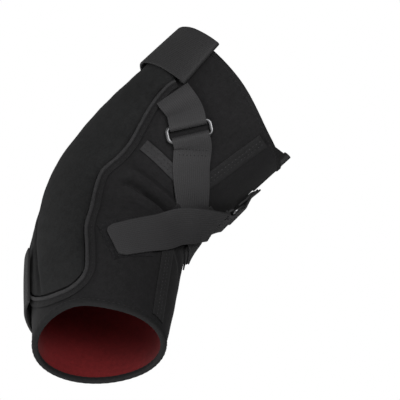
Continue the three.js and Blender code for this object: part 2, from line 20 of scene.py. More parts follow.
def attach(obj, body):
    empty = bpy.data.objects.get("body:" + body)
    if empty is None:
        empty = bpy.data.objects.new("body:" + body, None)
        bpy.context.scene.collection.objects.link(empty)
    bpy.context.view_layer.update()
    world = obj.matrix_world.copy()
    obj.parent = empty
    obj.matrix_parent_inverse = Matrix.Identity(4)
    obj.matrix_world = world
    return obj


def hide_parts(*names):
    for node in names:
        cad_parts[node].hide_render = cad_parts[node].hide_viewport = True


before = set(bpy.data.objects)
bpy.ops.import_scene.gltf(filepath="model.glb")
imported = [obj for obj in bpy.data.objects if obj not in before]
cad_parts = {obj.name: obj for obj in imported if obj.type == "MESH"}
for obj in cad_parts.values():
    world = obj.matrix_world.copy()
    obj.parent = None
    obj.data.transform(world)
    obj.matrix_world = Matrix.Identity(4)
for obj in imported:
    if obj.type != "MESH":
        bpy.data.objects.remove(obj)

LOG = logging.getLogger("elbow_brace")
MM = 0.001
BODY = "root"
ROUTE_SAMPLES = 121
PROFILE_SAMPLES = 24
NEAREST_STEPS = 6
NEAREST_EASE = 0.9
STITCH_SHARE = 0.74


class Side(Enum):
    """The brace's two sides; the value mirrors an angle round the form."""

    OUTER = 1
    INNER = -1


class Slot(Enum):
    """The record's material slots."""

    NEOPRENE = "neoprene"
    POCKET = "pocket_cloth"
    EDGING = "edging_cloth"
    WEBBING = "webbing"
    LOOP = "fuzzy_loop"
    STEEL = "ring_steel"


class Section(NamedTuple):
    """Shares of depth and width at a reach, a share of the upper or lower half's length."""

    reach: float
    front: float
    back: float
    side: float


class Rim(NamedTuple):
    """Where the two rims lie at an angle, as shares of their halves' lengths."""

    around: float
    upper: float
    lower: float


class Station(NamedTuple):
    """A place on a route: reach, angle and the gap under what follows the route."""

    reach: float
    around: float
    gap: float = 0.0


class Crease(NamedTuple):
    """A fold of the cloth between two places, with its depth and spread in millimetres."""

    along: float
    around: float
    end_along: float
    end_around: float
    depth: float
    spread: float


class Spot(NamedTuple):
    """A spot of a band's profile: place along its route, height, flatness and slant."""

    at: float
    height: float
    flat: float = 0.0
    slant: float = 0.0


class Column(NamedTuple):
    """A column of a pocket: share across, share of the pad's rise, reach of the lower end."""

    share: float
    stand: float
    end: float


class Reach(NamedTuple):
    """A pocket's two long sides at a reach."""

    reach: float
    start: float
    stop: float


@dataclass(frozen=True)
class Layers:
    """Thicknesses of the layers, and the gaps under what lies over them, in millimetres."""

    clearance: float = 0.3
    curve_room: float = 0.2
    crease_span: float = 0.6
    cloth: float = 0.45
    pocket: float = 0.6
    pad_stand: float = 5.2
    piping: float = 2.4
    binding: float = 0.7
    webbing: float = 1.3
    patch: float = 0.12
    loop: float = 1.0
    hook_pad: float = 0.9
    hook_room: float = 0.13

    @property
    def pad(self) -> float:
        """The gap over a pocket's pad."""
        return self.pocket + self.pad_stand + self.clearance

    @property
    def edging(self) -> float:
        """The gap over a pocket's piping."""
        return self.pocket + self.piping + self.clearance

    @property
    def flange(self) -> float:
        """The gap over a pocket's flat binding."""
        return self.pocket + self.binding + self.clearance

    @property
    def tape(self) -> float:
        """The gap over a seam tape."""
        return self.cloth + self.binding + self.clearance + self.curve_room

    @property
    def hook(self) -> float:
        """The gap over a hook pad that lies on its loop patch."""
        return self.patch + self.loop + self.hook_pad + self.hook_room

    @property
    def strap(self) -> float:
        """The gap over the strap that is crossed."""
        crossed = self.cloth + self.loop + self.hook_pad + self.crease_span + self.curve_room
        return crossed + self.webbing + self.clearance + self.crease_span


LAYERS = Layers()


def smooth_value(keys: Sequence[float], values: Sequence[float], at: np.ndarray) -> np.ndarray:
    """Read a smooth curve through a table.

    Args:
        keys: The table's key column, rising or falling.
        values: The column to read.
        at: Where to read it; outside the table the end values hold.

    Returns:
        The values there.
    """
    keys = np.asarray(keys, float)
    values = np.asarray(values, float)
    if keys[0] > keys[-1]:
        keys, values = keys[::-1], values[::-1]
    at = np.clip(np.asarray(at, float), keys[0], keys[-1])
    i = np.clip(np.searchsorted(keys, at, side="right") - 1, 0, len(keys) - 2)
    before = np.r_[0, np.arange(len(keys) - 1)]
    after = np.r_[np.arange(1, len(keys)), len(keys) - 1]
    slopes = (values[after] - values[before]) / (keys[after] - keys[before])
    span = keys[i + 1] - keys[i]
    u = (at - keys[i]) / span
    rise = u * u * (3 - 2 * u)
    bend = u * (1 - u) * ((1 - u) * slopes[i] - u * slopes[i + 1]) * span
    return values[i] + (values[i + 1] - values[i]) * rise + bend


def smooth_path(points: np.ndarray, count: int) -> np.ndarray:
    """Run a centripetal curve through points.

    Args:
        points: One row for each point.
        count: How many rows to return, evenly spaced between the points.

    Returns:
        The rows of the curve.
    """
    ends = (2 * points[0] - points[1], 2 * points[-1] - points[-2])
    p = np.vstack([ends[0], points, ends[1]])
    place = np.linspace(0, len(points) - 1, count)
    i = np.minimum(place.astype(int), len(points) - 2)
    t = (place - i)[:, None]
    step = np.sqrt(np.linalg.norm(np.diff(p, axis=0), axis=1))[:, None]
    step = np.maximum(step, 1e-6)
    x0, x1, x2, x3 = p[i], p[i + 1], p[i + 2], p[i + 3]
    d0, d1, d2 = step[i], step[i + 1], step[i + 2]
    t1 = ((x1 - x0) / d0 - (x2 - x0) / (d0 + d1) + (x2 - x1) / d1) * d1
    t2 = ((x2 - x1) / d1 - (x3 - x1) / (d1 + d2) + (x3 - x2) / d2) * d1
    cubic = 2 * x1 - 2 * x2 + t1 + t2
    square = -3 * x1 + 3 * x2 - 2 * t1 - t2
    return x1 + t * (t1 + t * (square + t * cubic))


def unit(v: np.ndarray) -> np.ndarray:
    """Scale vectors to length one."""
    return v / np.maximum(np.linalg.norm(v, axis=-1, keepdims=True), 1e-9)


@dataclass(frozen=True)
class SleeveForm:
    """The bent form that every piece lies on, in millimetres."""

    flexion: float = math.radians(57)
    bend_radius: float = 85.0
    upper_length: float = 114.0
    lower_length: float = 122.0
    depths: tuple[float, float, float] = (88.0, 108.0, 112.0)
    widths: tuple[float, float, float] = (78.0, 105.0, 110.0)
    sections: tuple[Section, ...] = (
        Section(-1.0, 0.455, 0.545, 0.5),
        Section(-0.5, 0.464, 0.571, 0.519),
        Section(0.0, 0.477, 0.528, 0.5),
        Section(0.5, 0.509, 0.464, 0.507),
        Section(1.0, 0.58, 0.42, 0.5),
    )
    rims: tuple[Rim, ...] = (
        Rim(-180, 1.0, 0.995),
        Rim(-115, 0.912, 0.985),
        Rim(-60, 0.85, 0.985),
        Rim(0, 0.89, 1.005),
        Rim(45, 0.978, 1.01),
        Rim(90, 1.0, 0.975),
        Rim(150, 1.0, 0.995),
        Rim(180, 1.0, 0.995),
    )
    creases: tuple[Crease, ...] = (
        Crease(16, 50, 12, -45, 1.3, 7.0),
        Crease(0, 45, -9, 2, -1.9, 5.0),
        Crease(-12, 46, -24, 4, 5.0, 4.4),
        Crease(-17, 30, -23, 8, 3.4, 3.0),
        Crease(-24, 4, -24, -12, 3.8, 4.6),
        Crease(62, -60, 50, -52, -1.5, 7.0),
        Crease(-19, 46, -28, 14, -1.2, 4.0),
        Crease(-32, 36, -38, 2, 1.3, 5.0),
        Crease(-24, 50, -29, 20, -0.7, 4.5),
        Crease(7, 42, 4, 12, 1.0, 3.6),
        Crease(-54, -14, -61, -34, 1.2, 3.6),
    )

    def along_at(self, reach: np.ndarray) -> np.ndarray:
        """Turn a reach into millimetres along the form."""
        reach = np.asarray(reach, float)
        return reach * np.where(reach > 0, self.upper_length, self.lower_length)

    def reach_at(self, along: np.ndarray) -> np.ndarray:
        """Turn millimetres along the form into a reach."""
        along = np.asarray(along, float)
        return along / np.where(along > 0, self.upper_length, self.lower_length)

    def point(self, along: np.ndarray, around: np.ndarray, lift: np.ndarray) -> np.ndarray:
        """Find points on the form.

        Args:
            along: Millimetres along the middle line, up the sleeve when positive.
            around: Degrees round the form from the crease side.
            lift: Millimetres over the cloth.

        Returns:
            The points, with x, y and z in the last axis.
        """
        along, around, lift = np.broadcast_arrays(along, around, lift)
        half = self.bend_radius * self.flexion / 2
        turn = np.clip((half - along) / (2 * half), 0, 1) * self.flexion
        sine, cosine = np.sin(turn), np.cos(turn)
        straight = np.maximum(along - half, 0) - np.maximum(-half - along, 0)
        x = self.bend_radius * (1 - cosine) - sine * straight
        z = self.bend_radius * (math.tan(self.flexion / 2) - sine) + cosine * straight
        reach = np.clip(self.reach_at(along), -1, 1)
        share = np.abs(reach)
        depth = self._between(reach, share, self.depths)
        width = self._between(reach, share, self.widths)
        keys = [s.reach for s in self.sections]
        angle = np.radians(around)
        front = smooth_value(keys, [s.front for s in self.sections], reach)
        back = smooth_value(keys, [s.back for s in self.sections], reach)
        side = smooth_value(keys, [s.side for s in self.sections], reach) * width
        out = np.where(np.cos(angle) > 0, front, back) * depth + lift
        x = x + cosine * out * np.cos(angle)
        z = z + sine * out * np.cos(angle)
        y = -(side + lift) * np.sin(angle)
        return np.stack([x, y, z], axis=-1)

    @staticmethod
    def _between(reach: np.ndarray, share: np.ndarray, sizes: tuple[float, ...]) -> np.ndarray:
        """Blend straight from the middle size to the one at the form's end."""
        lower, middle, upper = sizes
        return middle + share * (np.where(reach > 0, upper, lower) - middle)

    def sink(self, along: np.ndarray, around: np.ndarray) -> np.ndarray:
        """Tell how far the creases sink the cloth.

        Args:
            along: Millimetres along the form.
            around: Degrees round it.

        Returns:
            Millimetres, above zero in a fold and below zero on a ridge.
        """
        around = np.mod(np.asarray(around, float) + 180, 360) - 180
        total = np.zeros(np.broadcast(along, around).shape)
        degree = math.radians(1) * self.depths[1] / 2
        for crease in self.creases:
            run = np.array([crease.end_along - crease.along, (crease.end_around - crease.around) * degree])
            off_along = along - crease.along
            off_around = (around - crease.around) * degree
            share = np.clip((off_along * run[0] + off_around * run[1]) / (run @ run), 0, 1)
            gap = np.hypot(off_along - share * run[0], off_around - share * run[1])
            total += crease.depth * np.exp(-((gap / crease.spread) ** 2))
        return total

    def directions(
        self, along: np.ndarray, around: np.ndarray, lift: np.ndarray
    ) -> tuple[np.ndarray, np.ndarray, np.ndarray]:
        """Find the directions along the form's surface and out of it.

        Args:
            along: Millimetres along the form.
            around: Degrees round it.
            lift: Millimetres over the cloth.

        Returns:
            The move by a millimetre up the form, the move by a degree round it, and the unit
            direction out of it.
        """
        up = self.point(along + 0.5, around, lift) - self.point(along - 0.5, around, lift)
        turn = self.point(along, around + 0.5, lift) - self.point(along, around - 0.5, lift)
        return up, turn, unit(np.cross(up, turn))

    def nearest(
        self, target: np.ndarray, along: np.ndarray, around: np.ndarray, lift: np.ndarray
    ) -> tuple[np.ndarray, np.ndarray]:
        """Find the places at a lift that lie nearest under points.

        Args:
            target: The points.
            along: Starts close to the places, along the form.
            around: Starts close to the places, round the form.
            lift: The lift of the places.

        Returns:
            The places, along and around.
        """
        for _ in range(NEAREST_STEPS):
            up, turn, _out = self.directions(along, around, lift)
            miss = target - self.point(along, around, lift)
            up_up, turn_turn = (up * up).sum(-1), (turn * turn).sum(-1)
            skew = (up * turn).sum(-1)
            scale = up_up * turn_turn - skew * skew
            miss_up, miss_turn = (miss * up).sum(-1), (miss * turn).sum(-1)
            along = along + NEAREST_EASE * (miss_up * turn_turn - miss_turn * skew) / scale
            around = around + NEAREST_EASE * (miss_turn * up_up - miss_up * skew) / scale
        return along, around

    def rim_along(self, around: np.ndarray, upper: bool) -> np.ndarray:
        """Tell where a rim lies along the form.

        Args:
            around: The angles, in degrees.
            upper: Whether it is the upper rim.

        Returns:
            Millimetres along the form.
        """
        turned = np.mod(np.asarray(around, float) + 180, 360) - 180
        keys = [r.around for r in self.rims]
        if upper:
            return smooth_value(keys, [r.upper for r in self.rims], turned) * self.upper_length
        return -smooth_value(keys, [r.lower for r in self.rims], turned) * self.lower_length


class Route:
    """A line over the form, measured in millimetres."""

    def __init__(self, form: SleeveForm, stations: Sequence[Station]) -> None:
        """Lay the line through its stations.

        Args:
            form: The form.
            stations: The places that it passes.
        """
        self.form = form
        flat = np.array([[form.along_at(s.reach), s.around, s.gap] for s in stations], float)
        self.samples = smooth_path(flat, ROUTE_SAMPLES)
        points = form.point(self.samples[:, 0], self.samples[:, 1], 0.0)
        steps = np.linalg.norm(np.diff(points, axis=0), axis=1)
        self.distances = np.r_[0, np.cumsum(steps)]
        self.length = float(self.distances[-1])

    def read(self, at: np.ndarray) -> np.ndarray:
        """Read the line.

        Args:
            at: Millimetres from its start.

        Returns:
            Along, around and gap, in the last axis.
        """
        at = np.asarray(at, float)
        i = np.clip(np.searchsorted(self.distances, at), 1, len(self.distances) - 1)
        before = self.distances[i - 1]
        share = ((at - before) / (self.distances[i] - before))[..., None]
        return self.samples[i - 1] + share * (self.samples[i] - self.samples[i - 1])

    def place(self, at: np.ndarray, aside: np.ndarray, lift: np.ndarray) -> tuple[np.ndarray, np.ndarray]:
        """Find the places beside the line.

        Args:
            at: Millimetres along it.
            aside: Millimetres across it.
            lift: Millimetres over the cloth.

        Returns:
            The places, along and around.
        """
        at, aside, lift = np.broadcast_arrays(at, aside, lift)
        here = self.read(at)
        along, around = here[..., 0], here[..., 1]
        up, turn, out = self.form.directions(along, around, lift)
        change = self.read(at + 1) - self.read(at - 1)
        ahead = up * change[..., :1] + turn * change[..., 1:2]
        across = unit(np.cross(ahead, out))
        target = self.form.point(along, around, lift) + across * aside[..., None]
        return self.form.nearest(target, along, around, lift)

    def beside(self, at: np.ndarray, aside: np.ndarray, lift: np.ndarray) -> np.ndarray:
        """Find the points beside the line.

        Args:
            at: Millimetres along it.
            aside: Millimetres across it.
            lift: Millimetres over the cloth.

        Returns:
            The points.
        """
        along, around = self.place(at, aside, lift)
        return self.form.point(along, around, lift)


@dataclass(frozen=True)
class RingSeat:
    """Where a wire ring lies: its place, the way its strap leaves, and gaps below the plies."""

    reach: float
    around: float
    heading: float
    rest: float
    leave: float
    tab_start: Station
    tab_slant: float


class RingFrame:
    """The flat frame of a ring over the form."""

    def __init__(self, form: SleeveForm, seat: RingSeat, height: float) -> None:
        """Find the frame.

        Args:
            form: The form.
            seat: The ring's seat.
            height: The wire's middle over the cloth.
        """
        self.form = form
        self.height = height
        self.along, self.around = form.along_at(seat.reach), seat.around
        up, turn, out = form.directions(self.along, self.around, height)
        heading = math.radians(seat.heading)
        self.onward = unit(unit(up) * math.cos(heading) + unit(turn) * math.sin(heading))
        self.across = unit(np.cross(self.onward, out))
        self.outward = out
        self.centre = form.point(self.along, self.around, height)

    def point(self, ahead: np.ndarray, aside: np.ndarray, out: np.ndarray) -> np.ndarray:
        """Find points by millimetres ahead, aside and out from the ring's middle."""
        ahead, aside, out = (np.asarray(v, float)[..., None] for v in (ahead, aside, out))
        return self.centre + self.onward * ahead + self.across * aside + self.outward * out

    def station(self, ahead: float, gap: float) -> Station:
        """Give the station under a point ahead of the ring's middle.

        Args:
            ahead: Millimetres ahead.
            gap: The station's gap.

        Returns:
            The station.
        """
        target = self.point(ahead, 0.0, 0.0)
        along, around = self.form.nearest(target, self.along, self.around, self.height)
        return Station(float(self.form.reach_at(along)), float(around), gap)


def deselect() -> None:
    """Leave nothing selected."""
    for obj in bpy.context.selected_objects:
        obj.select_set(False)


def choose(obj: bpy.types.Object) -> None:
    """Make one object the only selected and the active one.

    Args:
        obj: The object.
    """
    deselect()
    obj.select_set(True)
    bpy.context.view_layer.objects.active = obj


def normals_out(obj: bpy.types.Object) -> None:
    """Turn a closed piece's faces outward.

    Args:
        obj: The piece.
    """
    choose(obj)
    bpy.ops.object.mode_set(mode="EDIT")
    bpy.ops.mesh.select_all(action="SELECT")
    bpy.ops.mesh.normals_make_consistent(inside=False)
    bpy.ops.object.mode_set(mode="OBJECT")


def apply_modifier(obj: bpy.types.Object, kind: str, **settings: object) -> None:
    """Add a modifier and apply it.

    Args:
        obj: The object.
        kind: Blender's name of the modifier type.
        settings: Its settings.
    """
    choose(obj)
    modifier = obj.modifiers.new(kind.lower(), kind)
    for name, value in settings.items():
        setattr(modifier, name, value)
    bpy.ops.object.modifier_apply(modifier=modifier.name)


def laid_grid(
    name: str,
    rows: int,
    columns: int,
    place: Callable[[np.ndarray, np.ndarray], np.ndarray],
    size: tuple[float, float],
    closed: bool = False,
    capped: bool = False,
) -> bpy.types.Object:
    """Add a flat grid and lay it over the form.

    Args:
        name: The object's name.
        rows: How many faces along it.
        columns: How many faces across it.
        place: Gives points in millimetres for shares along and across.
        size: Its flat length and width in millimetres, for the pattern on it.
        closed: Whether its long edges meet, as in a tube.
        capped: Whether its open ends are filled.

    Returns:
        The object.
    """
    deselect()
    bpy.ops.mesh.primitive_grid_add(x_subdivisions=columns, y_subdivisions=rows, size=1.0)
    obj = bpy.context.active_object
    obj.name = name
    obj.data.name = name
    mesh = obj.data
    flat = np.empty(len(mesh.vertices) * 3)
    mesh.vertices.foreach_get("co", flat)
    flat = flat.reshape(-1, 3)
    points = place(flat[:, 1] + 0.5, flat[:, 0] + 0.5)
    mesh.vertices.foreach_set("co", (points * MM).ravel())
    uv = np.empty(len(mesh.loops) * 2)
    mesh.uv_layers[0].data.foreach_get("uv", uv)
    uv = uv.reshape(-1, 2) * np.array([size[1], size[0]]) * MM
    mesh.uv_layers[0].data.foreach_set("uv", uv.ravel())
    mesh.update()
    if closed or capped:
        choose(obj)
        bpy.ops.object.mode_set(mode="EDIT")
        bpy.ops.mesh.select_all(action="SELECT")
        bpy.ops.mesh.remove_doubles(threshold=1e-6)
        if capped:
            bpy.ops.mesh.select_all(action="DESELECT")
            bpy.ops.mesh.select_non_manifold(extend=False)
            bpy.ops.mesh.edge_face_add()
            bpy.ops.mesh.select_all(action="SELECT")
            bpy.ops.mesh.normals_make_consistent(inside=False)
        bpy.ops.object.mode_set(mode="OBJECT")
    return obj


def face_out(obj: bpy.types.Object, out: Callable[[np.ndarray], np.ndarray]) -> None:
    """Turn an open sheet's faces away from the form's middle line.

    Args:
        obj: The sheet.
        out: Gives the outward directions at points in metres.
    """
    mesh = obj.data
    normals = np.array([p.normal for p in mesh.polygons])
    centres = np.array([p.center for p in mesh.polygons])
    if float((normals * out(centres)).sum()) < 0:
        mesh.flip_normals()


def finish_piece(
    obj: bpy.types.Object,
    materials: Sequence[bpy.types.Material],
    nodes: Sequence[str] = (),
    angle: float = 40.0,
) -> bpy.types.Object:
    """Shade, dress and register a piece.

    Args:
        obj: The piece.
        materials: Its materials, in order.
        nodes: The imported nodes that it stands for.
        angle: Edges sharper than this, in degrees, stay sharp.

    Returns:
        The piece.
    """
    choose(obj)
    bpy.ops.object.shade_smooth_by_angle(angle=math.radians(angle), keep_sharp_edges=False)
    for material in materials:
        obj.data.materials.append(material)
    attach(obj, BODY)
    if nodes:
        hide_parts(*nodes)
    LOG.info("%s: %d faces", obj.name, len(obj.data.polygons))
    return obj


def profile_rows(spots: Sequence[Spot], spacing: float) -> np.ndarray:
    """Smooth a band's profile and space it evenly.

    Args:
        spots: The profile's spots.
        spacing: Millimetres between rows.

    Returns:
        Rows of at, height, flat and slant.
    """
    fine = smooth_path(np.array(spots, float), len(spots) * PROFILE_SAMPLES)
    steps = np.hypot(np.diff(fine[:, 0]), np.diff(fine[:, 1]))
    run = np.r_[0, np.cumsum(steps)]
    even = np.linspace(0, run[-1], max(8, int(run[-1] / spacing)))
    return np.stack([np.interp(even, run, fine[:, i]) for i in range(4)], axis=1)


def band_sheet(
    name: str,
    route: Route,
    rows: np.ndarray,
    width: float,
    columns: int,
    seat: tuple[RingFrame, float] | None = None,
    edge_shape: Callable[[np.ndarray, np.ndarray], np.ndarray] | None = None,
    taut_from: float | None = None,
) -> bpy.types.Object:
    """Lay a band's middle sheet along a route.

    Args:
        name: The object's name.
        route: The line that its middle follows.
        rows: Its profile, from profile_rows.
        width: Its width in millimetres.
        columns: How many faces across it.
        seat: The ring's frame and its place along the route, for rows that are flat.
        edge_shape: Gives millimetres to add to a row's place from shares along and across.
        taut_from: The share of its length from which it is pulled taut, or None.

    Returns:
        The sheet, without thickness.
    """
    steps = np.hypot(np.diff(rows[:, 0]), np.diff(rows[:, 1]))
    run = np.r_[0, np.cumsum(steps)]
    share_of_row = run / run[-1]

    def place(down: np.ndarray, across: np.ndarray) -> np.ndarray:
        """Place the sheet's points.

        Args:
            down: Shares along it.
            across: Shares across it.

        Returns:
            The points, in millimetres.
        """
        at, height, flat, slant = (np.interp(down, share_of_row, rows[:, i]) for i in range(4))
        aside = (across - 0.5) * width
        at = at + aside * slant
        if edge_shape is not None:
            at = at + edge_shape(down, across)
        points = route.beside(at, aside, height)
        if seat is not None:
            ring, ring_at = seat
            level = ring.point(at - ring_at, aside, height - ring.height)
            points = points + (level - points) * flat[:, None]
        if taut_from is not None:
            points = pulled_taut(points, down, across, taut_from)
        return points

    return laid_grid(name, len(rows), columns, place, (float(run[-1]), width))


def thicken(
    obj: bpy.types.Object,
    thickness: float,
    soft: float | None = None,
    segments: int = 3,
    sharp: float = math.radians(60),
) -> None:
    """Give a band its thickness and soft edges.

    Args:
        obj: The band's middle sheet.
        thickness: Its thickness in millimetres.
        soft: How far its edges are softened, or None for a share of the thickness.
        segments: How many faces round an edge.
        sharp: Edges that turn by more than this, in radians, are softened.
    """
    apply_modifier(obj, "SOLIDIFY", thickness=thickness * MM, offset=0.0)
    width = thickness * 0.3 if soft is None else soft
    apply_modifier(obj, "BEVEL", width=width * MM, segments=segments, limit_method="ANGLE", angle_limit=sharp)


def pulled_taut(
    points: np.ndarray, down: np.ndarray, across: np.ndarray, start: float, passes: int = 90
) -> np.ndarray:
    """Even out a strap along its length, as tension does where it spans a hollow.

    Args:
        points: The sheet's points.
        down: Their shares along it.
        across: Their shares across it.
        start: The share along it where the tension starts.
        passes: How often each point moves to the middle of its neighbours.

    Returns:
        The evened points.
    """
    order = np.lexsort((np.round(down, 6), np.round(across, 6)))
    lines = len(np.unique(np.round(across, 6)))
    rows = points[order].reshape(lines, -1, 3).copy()
    share = down[order].reshape(lines, -1, 1)
    pull = np.clip((share - start) / 0.08, 0, 1) * np.clip((1 - share) / 0.2, 0, 1)
    for step in [0.7] * passes + [0.6, -0.63] * passes:
        middle = (rows[:, :-2] + rows[:, 2:]) / 2
        rows[:, 1:-1] += step * pull[:, 1:-1] * (middle - rows[:, 1:-1])
    evened = np.empty_like(points)
    evened[order] = rows.reshape(-1, 3)
    return evened


def turn_round(at: float, height: float, radius: float, ahead: int, flat: float = 1.0) -> list[Spot]:
    """Give the spots of a profile that turns back round a bar, from under it to over it.

    Args:
        at: The bar's place along the route.
        height: The bar's middle over the cloth.
        radius: The profile's distance from the bar's middle.
        ahead: 1 to turn back ahead of the bar, -1 behind it.
        flat: The spots' flatness.

    Returns:
        The spots.
    """
    parts = 6
    angles = [math.pi * (i / parts - 0.5) for i in range(parts + 1)]
    return [Spot(at + ahead * radius * math.cos(a), height + radius * math.sin(a), flat) for a in angles]


def resting(route: Route, start: float, stop: float, thickness: float, count: int) -> list[Spot]:
    """Give even spots of a profile that rests on its route's gap."""
    places = np.linspace(start, stop, count)
    return [Spot(float(at), float(route.read(at)[2]) + thickness / 2) for at in places]


def settled(obj: bpy.types.Object, points: np.ndarray) -> tuple[np.ndarray, np.ndarray]:
    """Move points onto a piece's surface.

    Args:
        obj: The piece.
        points: Points close over it, in millimetres.

    Returns:
        The nearest points of its surface, in millimetres, and the directions out of it.
    """
    found = [obj.closest_point_on_mesh(Vector(point * MM)) for point in points]
    places = np.array([place for _hit, place, _normal, _index in found]) / MM
    return places, np.array([normal for _hit, _place, normal, _index in found])


def sewn_line(
    name: str,
    points: np.ndarray,
    outs: np.ndarray,
    pitch: float,
    material: bpy.types.Material,
    radius: float = 0.28,
    sunk: float = 0.12,
) -> bpy.types.Object:
    """Sew a line of stitches, each a short thread that dips in at both ends.

    Args:
        name: The object's name.
        points: The line, in millimetres; a gap over four pitches between two points is skipped.
        outs: The outward direction at each point.
        pitch: Millimetres from stitch to stitch.
        material: The thread's material.
        radius: The thread's radius.
        sunk: How far the thread's middle lies under the line.

    Returns:
        The stitches, as one piece.
    """
    deselect()
    bpy.ops.mesh.primitive_uv_sphere_add(segments=6, ring_count=5, radius=0.5)
    base = bpy.context.active_object
    shape = np.array([v.co for v in base.data.vertices])
    faces = [list(p.vertices) for p in base.data.polygons]
    mesh = bpy.data.meshes.new(name)
    steps = np.linalg.norm(np.diff(points, axis=0), axis=1)
    jumps = steps > 4 * pitch
    run = np.r_[0, np.cumsum(np.where(jumps, 0, steps))]
    count = max(1, int(run[-1] / pitch))
    middle = (np.arange(count) + 0.5) * run[-1] / count
    at = np.stack([np.interp(middle, run, points[:, i]) for i in range(3)], axis=1)
    ahead_points = np.stack([np.interp(middle + 0.2, run, points[:, i]) for i in range(3)], axis=1)
    out = unit(np.stack([np.interp(middle, run, outs[:, i]) for i in range(3)], axis=1))
    ahead = unit(ahead_points - at + 1e-9)
    across = unit(np.cross(out, ahead))
    length = pitch * STITCH_SHARE
    curve = 1 - (2 * shape[:, 0:1]) ** 2
    local = shape * np.array([length, 2 * radius, 2 * radius])
    local[:, 2] += (curve[:, 0] - 1) * radius * 0.9 - sunk
    coordinates = (
        at[:, None]
        + ahead[:, None] * local[None, :, 0:1]
        + across[:, None] * local[None, :, 1:2]
        + out[:, None] * local[None, :, 2:3]
    )
    all_faces = [[v + k * len(shape) for v in f] for k in range(count) for f in faces]
    mesh.from_pydata((coordinates.reshape(-1, 3) * MM).tolist(), [], all_faces)
    old = base.data
    base.data = mesh
    bpy.data.meshes.remove(old)
    base.name = name
    return finish_piece(base, [material], angle=80)


def sewn_over(
    form: SleeveForm,
    name: str,
    along: np.ndarray,
    around: np.ndarray,
    lift: np.ndarray,
    pitch: float,
    material: bpy.types.Material,
    radius: float = 0.28,
) -> None:
    """Sew a line of stitches over the form.

    Args:
        form: The form.
        name: The object's name.
        along: The line's places along the form, in millimetres.
        around: Its places round the form, in degrees.
        lift: Its height over the cloth, in millimetres.
        pitch: Millimetres from stitch to stitch.
        material: The thread's material.
        radius: The thread's radius.
    """
    outs = form.directions(along, around, lift)[2]
    sewn_line(name, form.point(along, around, lift), outs, pitch, material, radius=radius)


class Shader:
    """A material under construction: its node tree and its Principled shader."""

    def __init__(self, name: str, roughness: float, sheen: float = 0.0, metallic: float = 0.0) -> None:
        """Start the material.

        Args:
            name: The material's name.
            roughness: Its even roughness.
            sheen: Its fuzz.
            metallic: 1 for metal.
        """
        self.material = bpy.data.materials.new(name)
        self.material.use_nodes = True
        self.tree = self.material.node_tree
        self.principled = self.tree.nodes["Principled BSDF"]
        self.principled.inputs["Roughness"].default_value = roughness
        self.principled.inputs["Metallic"].default_value = metallic
        self.principled.inputs["Sheen Weight"].default_value = sheen
        self.principled.inputs["Sheen Roughness"].default_value = 0.45

    def group(self, tree: bpy.types.NodeTree, **values: object) -> bpy.types.Node:
        """Place a node group.

        Args:
            tree: The group.
            values: Values for its inputs, by name.

        Returns:
            The group's node.
        """
        node = self.tree.nodes.new("ShaderNodeGroup")
        node.node_tree = tree
        for name, value in values.items():
            node.inputs[name].default_value = value
        return node

    def coordinates(self, output: str) -> bpy.types.NodeSocket:
        """Give the Object or UV coordinates."""
        return self.tree.nodes.new("ShaderNodeTexCoord").outputs[output]

    def link(self, a: bpy.types.NodeSocket, b: bpy.types.NodeSocket) -> None:
        """Join two sockets."""
        self.tree.links.new(a, b)

    def bump(self, height: bpy.types.NodeSocket, strength: float, distance: float) -> None:
        """Give the surface a relief.

        Args:
            height: The relief's height, from 0 to 1.
            strength: How strongly it shows.
            distance: Its depth in metres.
        """
        node = self.tree.nodes.new("ShaderNodeBump")
        node.inputs["Strength"].default_value = strength
        node.inputs["Distance"].default_value = distance
        self.link(height, node.inputs["Height"])
        self.link(node.outputs["Normal"], self.principled.inputs["Normal"])


